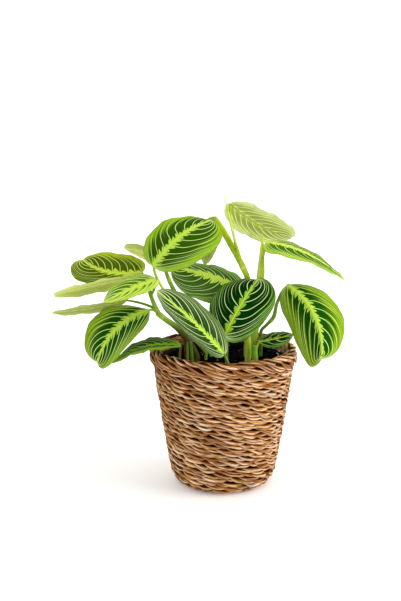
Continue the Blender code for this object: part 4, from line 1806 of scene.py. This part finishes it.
@dataclass
class Border:
    """The basket's border: long bundles laid over a core, with rows over its top and inside.

    A row's place round the border's section is in degrees, from straight out and up.
    """

    radius: float = 84.0
    height: float = 165.0
    half_width: float = 3.7
    half_height: float = 5.8
    core_samples: int = 96
    core_width: float = 1.7
    first_number: int = 200
    row_step: float = 0.23
    outer: Twist = Twist(50.0, 4.1, 3.0, plies=2, steps=18, wobble=0.7, scatter=0.9, swing=1.2,
                         rise=1.75)
    top: Twist = Twist(44.0, 5.0, 3.0, steps=18, wobble=1.3, scatter=0.9, swing=1.15, rise=1.2)
    inner: Twist = Twist(58.0, 3.2, 2.1, plies=2, steps=16, swing=0.7)
    outer_place: float = -16.0
    top_place: float = 54.0
    inner_places: Pair = (130.0, 195.0)

    def build(self) -> list[bpy.types.Object]:
        """Make every strand of the border.

        Returns:
            The strands.
        """
        strands = [self.core()]
        rows = [(self.outer_place, self.outer), (self.top_place, self.top)]
        rows += [(place, self.inner) for place in self.inner_places]
        for number, (degrees, twist) in enumerate(rows):
            section = math.radians(degrees)
            out, up = math.cos(section), math.sin(section)
            slope = math.hypot(up * self.half_width, out * self.half_height)
            along = (-up * self.half_width / slope, out * self.half_height / slope)
            row = Row(self.first_number + number, self.radius + self.half_width * out,
                      self.height + self.half_height * up, along, self.row_step * number)
            strands.extend(row.twine(twist))
        return strands

    def core(self) -> bpy.types.Object:
        """Bend the bundle of stake ends that the border is worked over, painted dark with painted
        shade.

        Returns:
            The bundle.
        """
        draw = random.Random(3)
        out, up = outward(even_angles(self.core_samples)), upward(self.core_samples)
        centre = out * self.radius + up * self.height
        # a depth of 0.75 paints the bundle in deep painted shade, as it lies under the border
        return Strand("core", centre, up, out, width=2.0 * self.half_height,
                      thickness=self.core_width * self.half_width, tone=draw.random(),
                      tint=draw.random(), depth=0.75).build()


# ---------------------------------------------------------------------------------------------
# Nursery pot and soil
# ---------------------------------------------------------------------------------------------


@dataclass(frozen=True)
class NurseryPot:
    """The thin black pot in the basket; its solid keeps its shape and gets its finish."""

    node: str = "nursery_pot"
    black: str = "141416"
    dust: str = "4a4036"
    specular: float = 0.08

    def build(self) -> None:
        """Dress the pot's own solid."""
        material = self.dress()
        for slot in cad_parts[self.node].material_slots:
            slot.material = material
        LOG.info("%s: dressed", self.node)

    def dress(self) -> bpy.types.Material:
        """Make the pot's material: black plastic with a little dust.

        Returns:
            The material.
        """
        w = Paint("black_pot_plastic")
        grain = w.noise(w.place(), 900.0)
        dust = w.noise(w.place(), 60.0, 4.0, 0.6)
        colour = w.mix(dust.ease(0.45, 0.75, 0.0, 0.25), shade(self.black), shade(self.dust))
        return w.finish(colour, dust.ease(0.3, 0.7, 0.55, 0.75), w.bump(grain, 0.25, 0.0003),
                        self.specular)


class SoilPart(IntEnum):
    """What the soil is made of, numbered as its materials are."""

    PEAT = 0
    GRAIN = 1
    ROOT = 2


@dataclass
class PottingSoil:
    """The soil, in millimetres: a crumbled top, loose crumbs, pale grains and a few rootlets.

    swell, crumble and grit are the top's layers: how many bumps a millimetre, and how high.
    """

    top: float = 158.0
    crown: float = 1.5
    crown_start: float = 0.8
    swell: Pair = (0.09, 1.2)
    crumble: Pair = (0.36, 1.7)
    grit: Pair = (0.9, 0.5)
    bottom: float = 8.8
    bottom_radius: float = 51.0
    top_radius: float = 75.6
    rings: int = 56
    spokes: int = 176
    crumbs: int = 150
    crumb_size: Pair = (0.8, 2.2)
    first_crumb: int = 40
    grains: int = 70
    grain_size: Pair = (0.35, 1.0)
    first_grain: int = 900
    littered: float = 0.94
    sunk: float = 0.35
    fine_lump: float = 1.2
    stretch: Pair = (0.6, 1.3)
    dent: float = 0.5
    root_sides: int = 6
    root_steps: int = 5
    roots: tuple[Route, ...] = (
        ((38, -44, 159.2, 0.35), (42, -40, 162.5, 0.4), (47, -37, 161.5, 0.35),
         (50, -38, 159.0, 0.25)),
        ((14, -50, 158.8, 0.3), (17, -47, 161.0, 0.35), (22, -46, 160.0, 0.3),
         (24, -50, 158.6, 0.2)),
        ((60, -34, 158.6, 0.6), (64, -30, 165.0, 0.8), (66, -28, 170.0, 0.7),
         (63.5, -29, 173.0, 0.35)),
        ((-20, -52, 158.8, 0.25), (-14, -50, 160.4, 0.3), (-9, -53, 159.4, 0.2)),
        ((28, 30, 158.8, 0.3), (34, 34, 160.8, 0.35), (40, 32, 159.2, 0.25)),
    )

    def build(self) -> None:
        """Make, dress and seat the soil with what lies on it."""
        parts = [self.bed()]
        parts += [self.lump(f"crumb_{k}", self.first_crumb + k, self.crumb_size, SoilPart.PEAT)
                  for k in range(self.crumbs)]
        parts += [self.lump(f"grain_{k}", self.first_grain + k, self.grain_size, SoilPart.GRAIN)
                  for k in range(self.grains)]
        parts += self.rootlets()
        settle(join("potting_soil", parts), "potting_soil")

    @cached_property
    def finishes(self) -> list[bpy.types.Material]:
        """Return the materials, in the order of SoilPart."""
        return [self.peat_finish(), self.dry_finish("pale_grain", 700.0, "8f8a94", "3c3540", 0.7),
                self.dry_finish("dry_rootlet", 300.0, "c9b58a", "8a744a", 0.6)]

    def height(self, x: float, y: float) -> float:
        """Return the crumbled top's height.

        Args:
            x: The place across.
            y: The place away.

        Returns:
            The height over the basket's underside.
        """
        beyond = max(0.0, math.hypot(x, y) / self.top_radius - self.crown_start)
        dome = self.top - self.crown * beyond / (1.0 - self.crown_start)
        coarse = noise.noise(Vector((x, y, 3.0)) * self.swell[0]) * self.swell[1]
        crumb = (0.5 - noise.voronoi(Vector((x, y, 9.0)) * self.crumble[0])[0][0]) * self.crumble[1]
        fine = noise.noise(Vector((x, y, 5.0)) * self.grit[0]) * self.grit[1]
        return dome + coarse + crumb + fine

    def bed(self) -> bpy.types.Object:
        """Turn the soil's section about the pot's axis and crumble its top.

        Returns:
            The soil without what lies on it.
        """
        bm = bmesh.new()
        ways = [(math.cos(angle), math.sin(angle)) for angle in even_angles(self.spokes).tolist()]
        loops = []
        for ring in range(1, self.rings + 1):
            spots = [(self.top_radius * ring / self.rings * c, self.top_radius * ring / self.rings * s)
                     for c, s in ways]
            loops.append([bm.verts.new((x, y, self.height(x, y))) for x, y in spots])
        loops.append([bm.verts.new((self.bottom_radius * c, self.bottom_radius * s, self.bottom))
                      for c, s in ways])
        for low, high in zip(loops, loops[1:]):
            for k in range(self.spokes):
                after = (k + 1) % self.spokes
                bm.faces.new((low[k], high[k], high[after], low[after]))
        centre = bm.verts.new((0.0, 0.0, self.height(0.0, 0.0)))
        for k in range(self.spokes):
            bm.faces.new((centre, loops[0][k], loops[0][(k + 1) % self.spokes]))
        bm.faces.new(loops[-1][::-1])
        bmesh.ops.recalc_face_normals(bm, faces=bm.faces[:])
        bmesh.ops.scale(bm, vec=(MM, MM, MM), verts=bm.verts[:])
        mesh = bpy.data.meshes.new("soil_bed")
        bm.to_mesh(mesh)
        bm.free()
        mesh.shade_smooth()
        item = new_object("soil_bed", mesh)
        clad(item, self.finishes, SoilPart.PEAT)
        return item

    def spot(self, draw: random.Random) -> Pair:
        """Draw a random place on the soil.

        Args:
            draw: Where the numbers come from.

        Returns:
            The place across and the place away.
        """
        radius = self.littered * self.top_radius * math.sqrt(draw.random())
        angle = draw.uniform(0.0, FULL_TURN)
        return radius * math.cos(angle), radius * math.sin(angle)

    def lump(self, name: str, seed: int, sizes: Pair, kind: SoilPart) -> bpy.types.Object:
        """Drop one uneven lump on the soil.

        Args:
            name: The lump's name.
            seed: The seed of its place and shape.
            sizes: Its least and greatest radius.
            kind: What it is made of.

        Returns:
            The lump.
        """
        draw = random.Random(seed)
        x, y = self.spot(draw)
        size = draw.uniform(*sizes)
        deselect()
        bpy.ops.mesh.primitive_ico_sphere_add(subdivisions=2 if size > self.fine_lump else 1,
                                              radius=1.0)
        item = bpy.context.active_object
        item.name = name
        stretch = [draw.uniform(*self.stretch) for _ in range(3)]
        base = self.height(x, y) + size * self.sunk
        for vertex in item.data.vertices:
            dent = 1.0 + self.dent * noise.noise(vertex.co * 1.4 + Vector((seed, 0.0, 0.0)))
            co = vertex.co * (size * dent)
            vertex.co = Vector((x + co.x * stretch[0], y + co.y * stretch[1],
                                base + co.z * stretch[2])) * MM
        clad(item, self.finishes, kind)
        return item

    def rootlets(self) -> list[bpy.types.Object]:
        """Lay a few thin dry rootlets over the soil and against the border.

        Returns:
            The rootlets.
        """
        out = []
        for number, route in enumerate(self.roots):
            path = smooth_route(route, self.root_steps)
            rings = round_rings(path[:, :3], path[:, 3:4], even_angles(self.root_sides))
            item = swept_mesh(f"rootlet_{number}", rings, closed=False)
            clad(item, self.finishes, SoilPart.ROOT)
            out.append(item)
        return out

    def peat_finish(self) -> bpy.types.Material:
        """Make the peat's material: near black, with brown fibres and damp crumbs.

        Returns:
            The material.
        """
        w = Paint("dark_peat")
        grain = w.noise(w.place(), 420.0, 5.0, 0.65)
        broad = w.noise(w.place(), 70.0)
        colour = w.mix(grain.ease(0.38, 0.72), shade("020102"), shade("120a08"))
        colour = w.mix(broad.ease(0.45, 0.75, 0.0, 0.5), colour, shade("0c080b"))
        return w.finish(colour, grain.ease(0.3, 0.7, 0.70, 0.98), w.bump(grain, 1.0, 0.0012), 0.01)

    def dry_finish(self, name: str, scale: float, light: str, dark: str,
                   rough: float) -> bpy.types.Material:
        """Make the material of the pale grains or the rootlets, stained by the peat.

        Args:
            name: The material's name.
            scale: How many stains there are a metre.
            light: The clean colour, as a screen colour.
            dark: The stained colour, as a screen colour.
            rough: The least roughness.

        Returns:
            The material.
        """
        w = Paint(name)
        stain = w.noise(w.place(), scale)
        return w.finish(w.mix(stain.ease(0.35, 0.65), shade(light), shade(dark)),
                        stain.ease(0.3, 0.7, rough, rough + 0.2))


# ---------------------------------------------------------------------------------------------
# Studio
# ---------------------------------------------------------------------------------------------


@dataclass(frozen=True)
class Softbox:
    """One soft square light, in metres and watts, turned to a target."""

    name: str
    place: Triple
    target: Triple
    size: float
    power: float
    tint: Triple = WHITE

    def hang(self) -> None:
        """Put the light into the scene."""
        lamp = bpy.data.lights.new(self.name, "AREA")
        lamp.size = self.size
        lamp.energy = self.power
        lamp.color = self.tint
        item = new_object(self.name, lamp)
        item.location = self.place
        way = Vector(self.target) - Vector(self.place)
        item.rotation_euler = way.to_track_quat("-Z", "Y").to_euler()


PLANT_MIDDLE = (0.0, 0.0, 0.18)
SOFTBOXES = (
    Softbox("key_softbox", (1.50, -0.50, 0.80), PLANT_MIDDLE, 1.2, 23.0, (1.0, 0.98, 0.96)),
    Softbox("fill_softbox", (-1.2, -0.9, 0.9), PLANT_MIDDLE, 1.4, 4.0, (0.97, 0.99, 1.0)),
    Softbox("top_softbox", (0.0, 0.3, 1.7), PLANT_MIDDLE, 1.6, 6.0),
    Softbox("wall_wash", (0.0, 1.3, 2.6), (0.0, 3.8, 1.3), 2.4, 52.0),
)


@dataclass
class Studio:
    """The pale sweep that the plant stands on, the soft lights and the camera, in metres."""

    softboxes: Sequence[Softbox]
    half_width: float = 9.0
    front: float = -9.0
    back: float = 2.6
    sweep_radius: float = 1.2
    sweep_steps: int = 16
    wall_height: float = 4.0
    paper: str = "fbfafa"
    paper_tooth: str = "f8f7f7"
    paper_glow: float = 0.16
    air_light: float = 0.72
    eye: Triple = (-0.0286, -1.265, 0.489)
    look_down: float = 11.5
    lens: float = 62.9
    sensor_width: float = 36.0
    nearest: float = 0.05

    def build(self) -> None:
        """Make the sweep, the lights and the camera."""
        self.sweep()
        for softbox in self.softboxes:
            softbox.hang()
        self.air()
        self.camera()

    def sweep(self) -> bpy.types.Object:
        """Bend a sheet from the floor up into a wall.

        Returns:
            The sheet.
        """
        profile = [(self.front, 0.0), (self.back, 0.0)]
        for k in range(1, self.sweep_steps + 1):
            angle = math.pi / 2.0 * k / self.sweep_steps
            profile.append((self.back + self.sweep_radius * math.sin(angle),
                            self.sweep_radius * (1.0 - math.cos(angle))))
        profile.append((self.back + self.sweep_radius, self.wall_height))
        vertices = [(x, y, z) for y, z in profile for x in (-self.half_width, self.half_width)]
        faces = [(2 * k, 2 * k + 1, 2 * k + 3, 2 * k + 2) for k in range(len(profile) - 1)]
        mesh = bpy.data.meshes.new("studio_sweep")
        mesh.from_pydata(vertices, [], faces)
        mesh.shade_smooth()
        item = new_object("studio_sweep", mesh)
        clad(item, (self.paper_finish(),))
        return item

    def paper_finish(self) -> bpy.types.Material:
        """Make the sweep's material: pale paper that glows a little.

        Returns:
            The material.
        """
        w = Paint("pale_paper")
        tooth = w.noise(w.place(), 300.0)
        w.set("Emission Color", WHITE)
        w.set("Emission Strength", self.paper_glow)
        colour = w.mix(tooth.ease(0.3, 0.7), shade(self.paper), shade(self.paper_tooth))
        return w.finish(colour, 0.9, specular=0.1)

    def air(self) -> None:
        """Light the room evenly with white."""
        world = bpy.data.worlds.new("studio_air")
        bpy.context.scene.world = world
        world.use_nodes = True
        air = world.node_tree.nodes["Background"]
        air.inputs["Color"].default_value = (*WHITE, 1.0)
        air.inputs["Strength"].default_value = self.air_light
        bpy.context.scene.view_settings.view_transform = "Standard"

    def camera(self) -> None:
        """Stand the camera in front of the plant, looking slightly down."""
        lens = bpy.data.cameras.new("studio_camera")
        lens.lens = self.lens
        lens.sensor_width = self.sensor_width
        lens.clip_start = self.nearest
        camera = new_object("studio_camera", lens)
        camera.location = self.eye
        camera.rotation_euler = (math.radians(90.0 - self.look_down), 0.0, 0.0)
        bpy.context.scene.camera = camera


def main() -> None:
    """Make every piece in order."""
    logging.basicConfig(level=logging.INFO, format="%(name)s: %(message)s")
    Studio(SOFTBOXES).build()
    Basket().build()
    NurseryPot().build()
    PottingSoil().build()
    Stems(SHOOTS).build()
    Foliage(BLADES).build()


if __name__ == "__main__":
    main()
